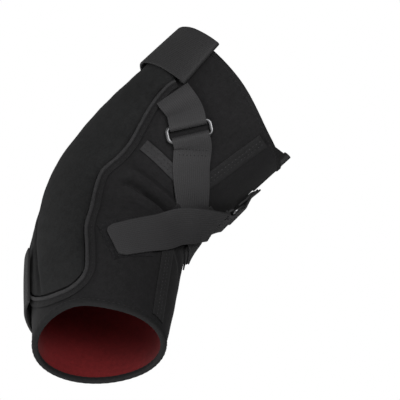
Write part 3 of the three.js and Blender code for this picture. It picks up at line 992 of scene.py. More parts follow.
class GroupMaker:
    """Makes a shader node group with named inputs and outputs."""

    def __init__(self, name: str) -> None:
        """Start the group.

        Args:
            name: The group's name.
        """
        self.tree = bpy.data.node_groups.new(name, "ShaderNodeTree")
        self.start = self.tree.nodes.new("NodeGroupInput")
        self.end = self.tree.nodes.new("NodeGroupOutput")

    def takes(self, name: str, kind: str, value: object = None) -> None:
        """Add an input socket.

        Args:
            name: The socket's name.
            kind: Its type, without Blender's prefix.
            value: Its usual value, or None for Blender's own.
        """
        socket = self.tree.interface.new_socket(name, in_out="INPUT", socket_type=f"NodeSocket{kind}")
        if value is not None:
            socket.default_value = value

    def gives(self, name: str, kind: str) -> None:
        """Add an output socket."""
        self.tree.interface.new_socket(name, in_out="OUTPUT", socket_type=f"NodeSocket{kind}")

    def node(self, kind: str, **settings: object) -> bpy.types.Node:
        """Add a node.

        Args:
            kind: Blender's name of the node type.
            settings: Its settings.

        Returns:
            The node.
        """
        node = self.tree.nodes.new(kind)
        for name, value in settings.items():
            setattr(node, name, value)
        return node

    def math(self, operation: str, a: object, b: object = None) -> bpy.types.NodeSocket:
        """Add a Math node.

        Args:
            operation: What it does.
            a: Its first value, a socket or a number.
            b: Its second value, or None where it takes one.

        Returns:
            Its output.
        """
        node = self.node("ShaderNodeMath", operation=operation)
        for i, value in enumerate((a, b)):
            if isinstance(value, bpy.types.NodeSocket):
                self.tree.links.new(value, node.inputs[i])
            elif value is not None:
                node.inputs[i].default_value = value
        return node.outputs[0]

    def noise(self, vector: bpy.types.NodeSocket, scale: object, detail: float) -> bpy.types.NodeSocket:
        """Add a Noise node.

        Args:
            vector: Its coordinates.
            scale: Its scale, a socket or a number.
            detail: Its detail.

        Returns:
            Its value, from 0 to 1.
        """
        node = self.node("ShaderNodeTexNoise")
        node.inputs["Detail"].default_value = detail
        self.tree.links.new(vector, node.inputs["Vector"])
        if isinstance(scale, bpy.types.NodeSocket):
            self.tree.links.new(scale, node.inputs["Scale"])
        else:
            node.inputs["Scale"].default_value = scale
        return node.outputs["Fac"]

    def output(self, name: str, socket: bpy.types.NodeSocket) -> None:
        """Send a socket to one of the group's outputs."""
        self.tree.links.new(socket, self.end.inputs[name])


def tint_group() -> bpy.types.NodeTree:
    """Make the group that mixes two colours by a value with a broad fading over it.

    Returns:
        The group: Shade, Dark, Light, Coordinates and Fading in, Color out.
    """
    maker = GroupMaker("cloth_tint")
    maker.takes("Coordinates", "Vector")
    maker.takes("Shade", "Float", 0.5)
    maker.takes("Dark", "Color")
    maker.takes("Light", "Color")
    maker.takes("Fading", "Float", 0.2)
    maker.gives("Color", "Color")
    broad = maker.noise(maker.start.outputs["Coordinates"], 38.0, 3.0)
    faded = maker.math("MULTIPLY", maker.math("SUBTRACT", broad, 0.5), maker.start.outputs["Fading"])
    value = maker.math("ADD", maker.start.outputs["Shade"], maker.math("MULTIPLY", faded, 3.0))
    mix = maker.node("ShaderNodeMix", data_type="RGBA")
    maker.tree.links.new(value, mix.inputs["Factor"])
    maker.tree.links.new(maker.start.outputs["Dark"], mix.inputs["A"])
    maker.tree.links.new(maker.start.outputs["Light"], mix.inputs["B"])
    maker.output("Color", mix.outputs["Result"])
    return maker.tree


def grain_group() -> bpy.types.NodeTree:
    """Make the knit grain: fine fibre noise over a soft uneven ground.

    Returns:
        The group: Coordinates and Scale in, Shade and Height out.
    """
    maker = GroupMaker("knit_grain")
    maker.takes("Coordinates", "Vector")
    maker.takes("Scale", "Float", 900.0)
    maker.gives("Shade", "Float")
    maker.gives("Height", "Float")
    vector, scale = maker.start.outputs["Coordinates"], maker.start.outputs["Scale"]
    fine = maker.noise(vector, scale, 2.0)
    middle = maker.noise(vector, maker.math("MULTIPLY", scale, 0.28), 3.0)
    shade = maker.math("ADD", maker.math("MULTIPLY", fine, 0.55), maker.math("MULTIPLY", middle, 0.45))
    spread = maker.math("MULTIPLY", maker.math("SUBTRACT", shade, 0.5), 2.2)
    maker.output("Shade", maker.math("ADD", spread, 0.5))
    maker.output("Height", shade)
    return maker.tree


def weave_group() -> bpy.types.NodeTree:
    """Make the webbing's weave: ribs along it, crossed by fine weft, in metres of its own sheet.

    Returns:
        The group: Coordinates, Rib and Weft in, Shade and Height out.
    """
    maker = GroupMaker("webbing_weave")
    maker.takes("Coordinates", "Vector")
    maker.takes("Rib", "Float", 0.0016)
    maker.takes("Weft", "Float", 0.0011)
    maker.gives("Shade", "Float")
    maker.gives("Height", "Float")
    split = maker.node("ShaderNodeSeparateXYZ")
    maker.tree.links.new(maker.start.outputs["Coordinates"], split.inputs[0])

    def wave(axis: str, pitch: str, shift: object = 0.0) -> bpy.types.NodeSocket:
        """Make an even wave, from 0 to 1, along one axis.

        Args:
            axis: The axis.
            pitch: The name of the input that holds its length.
            shift: Its shift, as a share of its length.

        Returns:
            The wave.
        """
        turn = maker.math("DIVIDE", split.outputs[axis], maker.start.outputs[pitch])
        angle = maker.math("MULTIPLY", maker.math("ADD", turn, shift), 2 * math.pi)
        return maker.math("MULTIPLY", maker.math("ADD", maker.math("SINE", angle), 1.0), 0.5)

    rib = wave("X", "Rib")
    half = maker.math("MULTIPLY", maker.math("DIVIDE", split.outputs["X"], maker.start.outputs["Rib"]), 0.5)
    weft = wave("Y", "Weft", maker.math("MULTIPLY", maker.math("ROUND", half), 0.5))
    threads = maker.math("ADD", maker.math("MULTIPLY", rib, 0.6), maker.math("MULTIPLY", weft, 0.4))
    lint = maker.noise(maker.start.outputs["Coordinates"], 700.0, 3.0)
    maker.output("Height", threads)
    shade = maker.math("ADD", maker.math("MULTIPLY", threads, 0.6), maker.math("MULTIPLY", lint, 0.4))
    maker.output("Shade", shade)
    return maker.tree


@dataclass(frozen=True)
class ClothFinish:
    """A matt cloth: two colours, its grain's scale, relief, fuzz and fading."""

    name: str
    dark: tuple[float, float, float]
    light: tuple[float, float, float]
    scale: float
    relief: float
    roughness: float = 0.9
    sheen: float = 0.06
    fading: float = 0.25

    def make(self, grain: bpy.types.NodeTree, tint: bpy.types.NodeTree) -> bpy.types.Material:
        """Make the material.

        Args:
            grain: The knit grain group.
            tint: The tint group.

        Returns:
            The material.
        """
        shader = Shader(self.name, self.roughness, self.sheen)
        place = shader.coordinates("Object")
        knit = shader.group(grain, Scale=self.scale)
        colour = shader.group(tint, Dark=(*self.dark, 1), Light=(*self.light, 1), Fading=self.fading)
        shader.link(place, knit.inputs["Coordinates"])
        shader.link(place, colour.inputs["Coordinates"])
        shader.link(knit.outputs["Shade"], colour.inputs["Shade"])
        shader.link(colour.outputs["Color"], shader.principled.inputs["Base Color"])
        shader.bump(knit.outputs["Height"], 0.6, self.relief)
        return shader.material


@dataclass(frozen=True)
class WebbingFinish:
    """Woven webbing: two colours, its rib and weft pitches, relief and gloss."""

    name: str
    dark: tuple[float, float, float]
    light: tuple[float, float, float]
    rib: float
    weft: float
    relief: float
    roughness: float = 0.72
    sheen: float = 0.04

    def make(self, weave: bpy.types.NodeTree, tint: bpy.types.NodeTree) -> bpy.types.Material:
        """Make the material.

        Args:
            weave: The weave group.
            tint: The tint group.

        Returns:
            The material.
        """
        shader = Shader(self.name, self.roughness, self.sheen)
        threads = shader.group(weave, Rib=self.rib, Weft=self.weft)
        colour = shader.group(tint, Dark=(*self.dark, 1), Light=(*self.light, 1), Fading=0.2)
        shader.link(shader.coordinates("UV"), threads.inputs["Coordinates"])
        shader.link(shader.coordinates("Object"), colour.inputs["Coordinates"])
        shader.link(threads.outputs["Shade"], colour.inputs["Shade"])
        shader.link(colour.outputs["Color"], shader.principled.inputs["Base Color"])
        shader.bump(threads.outputs["Height"], 0.8, self.relief)
        return shader.material


@dataclass(frozen=True)
class SteelFinish:
    """Plated wire: its colour, roughness and the scale of its fine scratches."""

    name: str = "plated_steel"
    colour: tuple[float, float, float] = (0.25, 0.25, 0.256)
    roughness: float = 0.38
    scale: float = 1400.0

    def make(self, grain: bpy.types.NodeTree, tint: bpy.types.NodeTree) -> bpy.types.Material:
        """Make the material.

        Args:
            grain: The grain group, for the scratches.
            tint: The tint group, for the plating's unevenness.

        Returns:
            The material.
        """
        shader = Shader(self.name, self.roughness, metallic=1.0)
        place = shader.coordinates("Object")
        scratches = shader.group(grain, Scale=self.scale)
        dark = tuple(c * 0.8 for c in self.colour)
        colour = shader.group(tint, Dark=(*dark, 1), Light=(*self.colour, 1), Fading=0.3)
        shader.link(place, scratches.inputs["Coordinates"])
        shader.link(place, colour.inputs["Coordinates"])
        shader.link(scratches.outputs["Shade"], colour.inputs["Shade"])
        shader.link(colour.outputs["Color"], shader.principled.inputs["Base Color"])
        shader.bump(scratches.outputs["Height"], 0.25, 0.00006)
        return shader.material


class Wardrobe:
    """All the brace's materials."""

    def __init__(self) -> None:
        """Make the shared groups and the materials."""
        grain, tint, weave = grain_group(), tint_group(), weave_group()
        self.neoprene = ClothFinish(
            "neoprene_face", (0.006, 0.0056, 0.0062), (0.0192, 0.0182, 0.0196), 1100, 0.00018, 0.9, 0.04
        ).make(grain, tint)
        self.lining = ClothFinish(
            "red_lining", (0.17, 0.006, 0.008), (0.29, 0.016, 0.018), 1300, 0.00015
        ).make(grain, tint)
        self.pocket = ClothFinish(
            "pocket_knit", (0.0055, 0.0056, 0.0058), (0.0195, 0.0199, 0.0204), 800, 0.00025, 0.9, 0.02
        ).make(grain, tint)
        self.edging = ClothFinish(
            "edging_tape", (0.006, 0.0056, 0.0062), (0.0185, 0.0177, 0.019), 1500, 0.0002, 0.85, 0.03
        ).make(grain, tint)
        self.hem = ClothFinish(
            "hem_binding", (0.005, 0.0048, 0.0052), (0.0165, 0.016, 0.017), 1500, 0.0002, 0.85, 0.02
        ).make(grain, tint)
        self.seam = ClothFinish(
            "seam_tape", (0.0105, 0.01, 0.0107), (0.0275, 0.0268, 0.028), 1500, 0.0002, 0.85
        ).make(grain, tint)
        self.crease_seam = ClothFinish(
            "crease_tape", (0.026, 0.0252, 0.0265), (0.056, 0.0545, 0.057), 1500, 0.0002, 0.8
        ).make(grain, tint)
        self.dark_thread = ClothFinish(
            "dark_thread", (0.003, 0.003, 0.0032), (0.009, 0.0088, 0.0092), 2500, 0.00008, 0.8, 0.0
        ).make(grain, tint)
        self.bright_thread = ClothFinish(
            "light_thread", (0.045, 0.044, 0.046), (0.1, 0.098, 0.102), 2500, 0.00008, 0.6
        ).make(grain, tint)
        # The piping is coloured much lighter than the binding and cloth beside it: painted highlight along
        # the rib, the same all the way round.
        self.rib = ClothFinish(
            "piping_cloth_painted_highlight", (0.02, 0.0195, 0.0205), (0.055, 0.0535, 0.056), 1500, 0.00018, 0.8
        ).make(grain, tint)
        self.fuzz = ClothFinish(
            "loop_fuzz", (0.0035, 0.0033, 0.0038), (0.021, 0.02, 0.022), 650, 0.0006, 1.0, 0.06
        ).make(grain, tint)
        self.thread = ClothFinish(
            "sewing_thread", (0.009, 0.0088, 0.0092), (0.027, 0.0265, 0.0275), 2500, 0.00008, 0.65, 0.02
        ).make(grain, tint)
        self.webbing = WebbingFinish(
            "strap_webbing", (0.036, 0.035, 0.0365), (0.064, 0.0625, 0.065), 0.0014, 0.0011, 0.00017
        ).make(weave, tint)
        self.cuff = WebbingFinish(
            "cuff_webbing", (0.026, 0.0255, 0.0263), (0.048, 0.047, 0.0485), 0.0012, 0.0024, 0.0002
        ).make(weave, tint)
        self.steel = SteelFinish().make(grain, tint)


@dataclass
class Sleeve:
    """The bent neoprene wall with its two rolled rims."""

    form: SleeveForm
    wardrobe: Wardrobe
    wall: float = 3.0
    hem_height: float = 4.0
    hem_stand: float = 0.5
    tuck: float = 1.0
    rows: int = 230
    columns: int = 190
    flat: tuple[float, float] = (0.345, 0.25)
    flat_area: float = 0.072
    rim_squareness: float = 0.55
    rim_puffs: float = 58.0
    stitch_pitch: float = 3.2

    def build(self) -> None:
        """Build and dress the wall, the rims and their stitching."""
        self._wall()
        for upper in (True, False):
            self._rim(upper)

    def _wall(self) -> None:
        """Roll a grid into the sleeve and give it its thickness."""
        form = self.form

        def place(up: np.ndarray, across: np.ndarray) -> np.ndarray:
            """Place the wall's points.

            Args:
                up: Shares of the way up it.
                across: Shares round it.

            Returns:
                The points, in millimetres.
            """
            around = 180 - across * 360
            low = form.rim_along(around, False) + self.hem_height - self.tuck
            high = form.rim_along(around, True) - self.hem_height + self.tuck
            along = low + up * (high - low)
            return form.point(along, around, -form.sink(along, around) + self._ripple(along, around))

        obj = laid_grid("sleeve_wall", self.rows, self.columns, place, size=(230, 330), closed=True)
        face_out(obj, self._away)
        for material in (self.wardrobe.neoprene, self.wardrobe.lining):
            obj.data.materials.append(material)
        apply_modifier(obj, "SOLIDIFY", thickness=self.wall * MM, offset=-1.0, material_offset=1,
                       material_offset_rim=1, use_even_offset=True)
        finish_piece(obj, [], ["sleeve"])

    def _ripple(self, along: np.ndarray, around: np.ndarray) -> np.ndarray:
        """Give the soft unevenness of a worn sleeve.

        Args:
            along: Millimetres along the form.
            around: Degrees round it.

        Returns:
            Millimetres out of the cloth.
        """
        angle = np.radians(around)
        broad = 0.35 * np.sin(3 * angle + along / 19) * np.sin(along / 23 + 1.3)
        fine = 0.16 * np.sin(9 * angle + along / 7.5) * np.sin(along / 6.1 + 4 * np.sin(angle))
        return broad + fine

    def _away(self, points: np.ndarray) -> np.ndarray:
        """Give directions away from the form's middle line.

        Args:
            points: Points, in metres.

        Returns:
            The directions there.
        """
        half = self.form.flexion / 2
        onward = np.array([math.sin(half * 2), 0, -math.cos(half * 2)])
        lower = points[:, 2] < 0
        run = np.clip((points * onward).sum(1), 0, None)[:, None] * onward
        middle = np.where(lower[:, None], run, points * np.array([0, 0, 1]))
        return points - middle

    def _rim(self, upper: bool) -> None:
        """Build one rolled rim and its stitches.

        Args:
            upper: Whether it is the upper rim.
        """
        form = self.form
        inward = -1 if upper else 1
        thick = self.wall / 2 + self.hem_stand
        middle = -self.wall / 2

        def place(down: np.ndarray, across: np.ndarray) -> np.ndarray:
            """Place the rim's points.

            Args:
                down: Shares round the form.
                across: Shares round the rim's section.

            Returns:
                The points, in millimetres.
            """
            around = down * 360 - 180
            angle = across * 2 * math.pi
            flat = np.sign(np.cos(angle)) * np.abs(np.cos(angle)) ** self.rim_squareness
            rise = np.sign(np.sin(angle)) * np.abs(np.sin(angle)) ** self.rim_squareness
            puff = 1 + 0.05 * np.sin(np.radians(around) * self.rim_puffs)
            along = form.rim_along(around, upper) + inward * self.hem_height * 0.5 * (1 + flat)
            lift = middle + rise * thick * puff - form.sink(along, around)
            return form.point(along, around, lift)

        name = "upper_rim" if upper else "lower_rim"
        obj = laid_grid(name, rows=340, columns=20, place=place, size=(330, 14), closed=True)
        normals_out(obj)
        node = "upper_hem" if upper else "lower_hem"
        finish_piece(obj, [self.wardrobe.hem], [node], angle=60)
        around = np.linspace(-180, 180, 400)
        along = form.rim_along(around, upper) + inward * self.hem_height * 0.72
        lift = self.hem_stand - form.sink(along, around)
        sewn_over(form, f"{name}_stitches", along, around, lift, self.stitch_pitch,
                  self.wardrobe.thread)


@dataclass
class SidePocket:
    """A long padded pocket with its piping, on one side of the sleeve."""

    form: SleeveForm
    wardrobe: Wardrobe
    side: Side
    cuff_reach: float
    base: float = LAYERS.pocket
    pad_stand: float = LAYERS.pad_stand
    pad_fill: float = 0.6
    pad_top: float = 0.82
    flange_stand: float = 1.3
    rib_radius: float = LAYERS.piping / 2
    edging_room: float = 1.0
    edge_steps: int = 12
    tape_width: float = 4.0
    tape_thickness: float = LAYERS.binding
    tape_softness: float = 0.22
    stitch_pitch: float = 3.0
    hem_height: float = 4.0
    cuff_width: float = 36.0
    sides: tuple[Reach, ...] = (
        Reach(1.0, 78.5, 151),
        Reach(0.78, 78, 152),
        Reach(0.71, 75.2, 152),
        Reach(0.6, 77.8, 152),
        Reach(0.5, 73.4, 152),
        Reach(0.37, 67.8, 152),
        Reach(0.13, 63.6, 152),
        Reach(-0.01, 68, 151),
        Reach(-0.13, 72.4, 149),
        Reach(-0.31, 71.4, 144),
        Reach(-0.5, 76, 139.5),
        Reach(-0.68, 74.3, 136.5),
        Reach(-0.9, 74.8, 134),
    )
    columns: tuple[Column, ...] = (
        Column(0.0, 0.12, -0.79),
        Column(0.03, 0.45, -0.82),
        Column(0.08, 0.78, -0.845),
        Column(0.2, 0.97, -0.87),
        Column(0.38, 1.0, -0.87),
        Column(0.56, 0.94, -0.85),
        Column(0.63, 0.74, -0.837),
        Column(0.67, 0.02, -0.825),
        Column(0.7, -0.26, -0.817),
        Column(0.73, -0.2, -0.807),
        Column(0.77, 0.04, -0.794),
        Column(0.85, 0.02, -0.765),
        Column(1.0, 0, -0.68),
    )

    @property
    def name(self) -> str:
        """The side's name."""
        return self.side.name.lower()

    def place(self, share: np.ndarray, down: np.ndarray) -> tuple[np.ndarray, np.ndarray]:
        """Find places on the pocket.

        Args:
            share: Shares across it, from the crease side to the back.
            down: Shares down it, from the upper rim.

        Returns:
            The places, along and around.
        """
        keys = [s.reach for s in self.sides]
        starts, stops = [s.start for s in self.sides], [s.stop for s in self.sides]

        def angle(reach: np.ndarray) -> np.ndarray:
            """Give the angles of the shares at reaches."""
            start = smooth_value(keys, starts, reach)
            return start + share * (smooth_value(keys, stops, reach) - start)

        sign = self.side.value
        top = self.form.rim_along(sign * angle(np.ones_like(share)), True)
        top = top - self.hem_height - 2 * LAYERS.clearance
        ends = smooth_value([c.share for c in self.columns], [c.end for c in self.columns], share)
        along = top + down * (self.form.along_at(ends) - top)
        return along, sign * angle(self.form.reach_at(along))

    def build(self) -> None:
        """Build and dress the pad and its edging."""
        self._pad()
        self._edging()

    def _stand(self, share: np.ndarray, down: np.ndarray) -> np.ndarray:
        """Give the pad's height over its base.

        Args:
            share: Shares across it.
            down: Shares down it.

        Returns:
            The heights, in millimetres.
        """
        stand = smooth_value([c.share for c in self.columns], [c.stand for c in self.columns], share)
        taper = np.sqrt(np.minimum(1, 0.06 + (1 - down) / 0.11))
        start = np.sqrt(np.minimum(1, 0.3 + down / 0.02))
        wrinkle = 0.16 * np.sin(down * 61 + 5 * share) * np.sin(share * 19 + 3 * np.sin(down * 17))
        sag = 0.22 * np.sin(down * 23 + 1.7) * np.sin(share * math.pi * 1.4)
        rise = stand * (self.pad_stand - self.flange_stand) * taper
        return self.flange_stand * start + rise + wrinkle + sag

    def _pad(self) -> None:
        """Build the padded pocket as one closed cushion."""
        top_share = self.pad_top

        def place(down: np.ndarray, across: np.ndarray) -> np.ndarray:
            """Place the cushion's points.

            Args:
                down: Shares down it.
                across: Shares round it, over the top and back below.

            Returns:
                The points, in millimetres.
            """
            over = across < top_share
            share = np.where(over, across / top_share, (1 - across) / (1 - top_share))
            along, around = self.place(np.clip(share, 0, 1), down)
            lift = np.where(over, self._stand(share, down), 0.0)
            edge = np.isclose(across, 1.0) | np.isclose(across, 0.0)
            lift = np.where(edge, 0.0, lift)
            return self.form.point(along, around, self.base + lift)

        obj = laid_grid(f"{self.name}_pad", rows=200, columns=90, place=place, size=(210, 90),
                        closed=True, capped=True)
        finish_piece(obj, [self.wardrobe.pocket], [f"{self.name}_pocket"], angle=50)

    def _edge_route(self) -> Route:
        """Lay the line of the edging: down the crease side, round the end and up the back.

        Returns:
            The line.
        """
        form = self.form
        under_cuff = self.cuff_width / 2 + 5 * LAYERS.clearance
        top_reach = float(form.reach_at(form.along_at(self.cuff_reach) - under_cuff))
        first = float(form.reach_at(form.along_at(top_reach) - self.tape_width))
        keys = [s.reach for s in self.sides]
        sign = self.side.value
        steps = self.edge_steps
        downs = np.arange(steps) / steps

        def run(share: float) -> list[Station]:
            """List the stations down one long side.

            Args:
                share: The side's share across the pocket.

            Returns:
                Its stations below the cuff strap.
            """
            along, around = self.place(np.full(steps, share), downs)
            reach = form.reach_at(along)
            return [Station(float(r), float(a)) for r, a in zip(reach, around) if r < first]

        def start(column: Sequence[float]) -> Station:
            """Give the station where one long side leaves the cuff strap."""
            return Station(top_reach, sign * float(smooth_value(keys, column, top_reach)))

        shares = np.array([0, 0.06, 0.2, 0.38, 0.56, 0.66, 0.71, 0.85, 1.0])
        along, around = self.place(shares, np.ones(len(shares)))
        end = [Station(float(r), float(a)) for r, a in zip(form.reach_at(along), around)]
        line = [start([s.start for s in self.sides]), *run(0.0), *end]
        line += [*run(1.0)[::-1], start([s.stop for s in self.sides])]
        return Route(form, line)

    def _edging(self) -> None:
        """Build the piping, the flat tape beside it and the tape's stitches."""
        route = self._edge_route()
        sign = self.side.value
        rib_aside = self.rib_radius + self.edging_room
        tape_from = rib_aside + self.rib_radius * 0.5
        tape_to = rib_aside + self.rib_radius + self.tape_width

        def piping(down: np.ndarray, across: np.ndarray) -> np.ndarray:
            """Place the piping's points.

            Args:
                down: Shares along it.
                across: Shares round it.

            Returns:
                The points, in millimetres.
            """
            angle = across * 2 * math.pi
            swell = 1 + 0.04 * np.sin(down * route.length / 2.4)
            aside = rib_aside + self.rib_radius * np.cos(angle) * swell
            lift = self.base + self.rib_radius * (1 + np.sin(angle) * swell)
            return route.beside(down * route.length, -sign * aside, lift)

        rib = laid_grid(f"{self.name}_piping", rows=420, columns=12, place=piping, size=(route.length, 8),
                        closed=True, capped=True)
        finish_piece(rib, [self.wardrobe.rib], angle=60)

        def flat(down: np.ndarray, across: np.ndarray) -> np.ndarray:
            """Place the flat tape's points.

            Args:
                down: Shares along it.
                across: Shares across it.

            Returns:
                The points, in millimetres.
            """
            aside = tape_from + across * (tape_to - tape_from)
            pucker = 0.1 * np.sin(down * route.length / 0.95) * np.sin(across * math.pi)
            lift = self.base + self.tape_thickness / 2 + pucker
            return route.beside(down * route.length, -sign * aside, lift)

        tape = laid_grid(f"{self.name}_binding", rows=420, columns=5, place=flat,
                         size=(route.length, self.tape_width))
        thicken(tape, self.tape_thickness, soft=self.tape_softness, segments=2, sharp=1.0)
        finish_piece(tape, [self.wardrobe.edging], [f"{self.name}_edging"])
        at = np.linspace(2, route.length - 2, 500)
        middle = -sign * (rib_aside + self.rib_radius + self.tape_width * 0.5)
        lift = self.base + self.tape_thickness
        along, around = route.place(at, middle, lift)
        sewn_over(self.form, f"{self.name}_binding_stitches", along, around, lift, self.stitch_pitch,
                  self.wardrobe.thread)


@dataclass
class Fastening:
    """A tab with its wire ring, the strap that leaves it, and the patch the strap ends on."""

    form: SleeveForm
    wardrobe: Wardrobe
    side: Side
    seat: RingSeat
    strap_stations: tuple[Station, ...]
    patch_stations: tuple[Station, ...]
    width: float = 25.0
    thickness: float = LAYERS.webbing
    tab_thickness: float = 1.1
    tab_sag: float = 1.35
    wire: float = 2.8
    turn_room: float = LAYERS.clearance + 0.1
    opening: float = 7.0
    corner: float = 3.0
    corner_steps: int = 8
    folded_ply: float = 10.0
    ply_gap: float = 0.25
    taut_plies: float = 3.6
    end_radius: float = 5.0
    end_share: float = 0.07
    bar_rows: tuple[float, ...] = (0.5, 3.5)
    bar_inset: float = 2.5
    bar_pitch: float = 2.2
    bar_radius: float = 0.34
    patch_width: float = 30.0
    patch_thickness: float = LAYERS.loop
    patch_inset: float = 1.6
    patch_pitch: float = 2.8
    fuzz_depth: float = 0.06
    hook_thickness: float = LAYERS.hook_pad
    hook_length: float = 32.0
    hook_inset: float = 1.0
    hook_drop: float = 0.05

    def build(self) -> None:
        """Build and dress every piece of the fastening."""
        name = self.side.name.lower()
        other = Side(-self.side.value).name.lower()
        bar = (self.opening + self.wire) / 2
        under = self.seat.rest + self.thickness / 2
        strap_turn = (self.wire + self.thickness) / 2 + self.turn_room
        ring = RingFrame(self.form, self.seat, under + strap_turn)
        self._ring(name, ring)
        self._tab(name, ring, bar)
        route = self._strap(name, ring, bar, under, strap_turn)
        self._hook(name, route)
        self._patch(other)

    def _ring(self, name: str, ring: RingFrame) -> None:
        """Build the round-cornered wire ring.

        Args:
            name: The side's name.
            ring: The ring's frame.
        """
        wire = self.wire / 2
        half_width = self.width / 2 + 0.8 + wire - self.corner
        half_run = self.opening / 2 + wire - self.corner
        corners = ((1, 1, 0), (-1, 1, 90), (-1, -1, 180), (1, -1, 270))
        path, normals = [], []
        for aside, ahead, start in corners:
            for i in range(self.corner_steps + 1):
                turn = math.radians(start + 90 * i / self.corner_steps)
                normals.append((math.cos(turn), math.sin(turn)))
                path.append((aside * half_width + self.corner * math.cos(turn),
                             ahead * half_run + self.corner * math.sin(turn)))
        path.append(path[0])
        normals.append(normals[0])
        path_array, normal_array = np.array(path), np.array(normals)
        count = len(path) - 1

        def place(down: np.ndarray, across: np.ndarray) -> np.ndarray:
            """Place the wire's points.

            Args:
                down: Shares along it.
                across: Shares round it.

            Returns:
                The points, in millimetres.
            """
            i = np.rint(down * count).astype(int)
            angle = across * 2 * math.pi
            spot = path_array[i] + normal_array[i] * (wire * np.cos(angle))[:, None]
            return ring.point(spot[:, 1], spot[:, 0], wire * np.sin(angle))

        obj = laid_grid(f"{name}_wire_ring", rows=count, columns=16, place=place, size=(80, 9), closed=True)
        normals_out(obj)
        finish_piece(obj, [self.wardrobe.steel], [f"{name}_ring"], angle=80)

    def _tab(self, name: str, ring: RingFrame, bar: float) -> None:
        """Build the webbing loop between the pocket's edging and the ring.

        Args:
            name: The side's name.
            ring: The ring's frame.
            bar: From the ring's middle to its bar's, in millimetres.
        """
        turn = (self.wire + self.tab_thickness) / 2 + self.turn_room
        near = [ring.station(-bar - self.folded_ply / 2, 0.0), ring.station(turn - bar, 0.0)]
        route = Route(self.form, [self.seat.tab_start, *near])
        low = LAYERS.flange + self.tab_thickness / 2
        high = low + self.tab_thickness + self.ply_gap
        bend_at = route.length - self.folded_ply

        def ply(start: float, height: float, rise: float) -> list[Spot]:
            """Give the spots of one ply, which sags onto the cloth before the ring.

            Args:
                start: Where it starts along the route.
                height: Its height there.
                rise: How much higher it ends.

            Returns:
                The spots.
            """
            spots = []
            for u in np.linspace(0, 1, 7).tolist():
                sag = self.tab_sag * math.sin(math.pi * max(0.0, u - 0.25) / 0.75)
                at, lift = start + u * (bend_at - start), height + u * rise - sag
                spots.append(Spot(at, lift, 0.7 * u * u, (1 - u) * self.seat.tab_slant))
            return spots

        spots = ply(2.0, low, 0.0)
        spots += turn_round(route.length - turn, ring.height, turn, 1)
        spots += ply(0.0, high, 0.5)[::-1]
        seat = (ring, route.length - turn + bar)
        obj = band_sheet(f"{name}_tab_webbing", route, profile_rows(spots, 0.7), self.width, 10, seat)
        thicken(obj, self.tab_thickness)
        finish_piece(obj, [self.wardrobe.webbing], [f"{name}_tab"])

    def _strap(self, name: str, ring: RingFrame, bar: float, under: float, turn: float) -> Route:
        """Build the strap, from its stitched folded end round the ring to its free end.

        Args:
            name: The side's name.
            ring: The ring's frame.
            bar: From the ring's middle to its bar's, in millimetres.
            under: The height of its ply under the bar.
            turn: How far its middle passes from the bar's.

        Returns:
            The line that the strap follows.
        """
        leave, half_ply = self.seat.leave, self.folded_ply / 2
        start = [ring.station(bar - turn, leave), ring.station(bar + half_ply, leave)]
        route = Route(self.form, [*start, *self.strap_stations])
        spots = [
            Spot(self.folded_ply, under),
            Spot(self.folded_ply / 2, under, 0.9),
            *turn_round(turn, ring.height, turn, -1),
            Spot(self.folded_ply * 0.6, under + self.thickness + 0.8 * self.wire, 0.9),
            Spot(self.folded_ply, under + self.thickness + self.ply_gap),
            *resting(route, self.folded_ply + 6, route.length, self.thickness, 20),
        ]
        rows = profile_rows(spots, 0.8)
        radius = self.end_radius
        taut_from = (self.taut_plies * self.folded_ply) / (route.length + 2 * self.folded_ply)

        def rounded(down: np.ndarray, across: np.ndarray) -> np.ndarray:
            """Round the corners of the free end.

            Args:
                down: Shares along the strap.
                across: Shares across it.

            Returns:
                Millimetres to add along it.
            """
            aside = np.abs(across - 0.5) * self.width
            over = np.clip(aside - (self.width / 2 - radius), 0, radius)
            cut = radius - np.sqrt(radius * radius - over * over)
            return -cut * np.clip((down - (1 - self.end_share)) / self.end_share, 0, 1)

        obj = band_sheet(f"{name}_strap_webbing", route, rows, self.width, 16, (ring, turn - bar), rounded,
                         taut_from)
        thicken(obj, self.thickness)
        finish_piece(obj, [self.wardrobe.webbing], [f"{name}_strap"])
        self._block(name, obj, route)
        return route

    def _block(self, name: str, strap: bpy.types.Object, route: Route) -> None:
        """Sew the two rows of stitches that close the strap's folded end.

        Args:
            name: The side's name.
            strap: The strap.
            route: The line that it follows.
        """
        half = self.width / 2 - self.bar_inset
        sides = np.linspace(-half, half, 40)
        for row, ahead in enumerate(self.bar_rows):
            at = self.folded_ply + ahead
            gap = max(float(route.read(at)[2]), self.seat.rest + self.thickness + self.ply_gap)
            over = gap + self.thickness + 1.75
            along, around = route.place(np.full(len(sides), at), sides, over)
            places, outs = settled(strap, self.form.point(along, around, over))
            sewn_line(f"{name}_strap_bar_{row}", places, outs, self.bar_pitch, self.wardrobe.dark_thread,
                      radius=self.bar_radius)

    def _hook(self, name: str, route: Route) -> None:
        """Build the hook pad under the strap's free end.

        Args:
            name: The side's name.
            route: The line that the strap follows.
        """
        start = route.length - self.hook_length - LAYERS.clearance
        places = np.linspace(start, route.length - LAYERS.clearance, 8)
        drop = self.hook_drop + self.hook_thickness / 2
        spots = [Spot(float(at), float(route.read(at)[2]) - drop) for at in places]
        width = self.width - 2 * self.hook_inset
        obj = band_sheet(f"{name}_hook_pad", route, profile_rows(spots, 1.0), width, 14)
        thicken(obj, self.hook_thickness)
        finish_piece(obj, [self.wardrobe.fuzz], [f"{name}_strap_hook"])

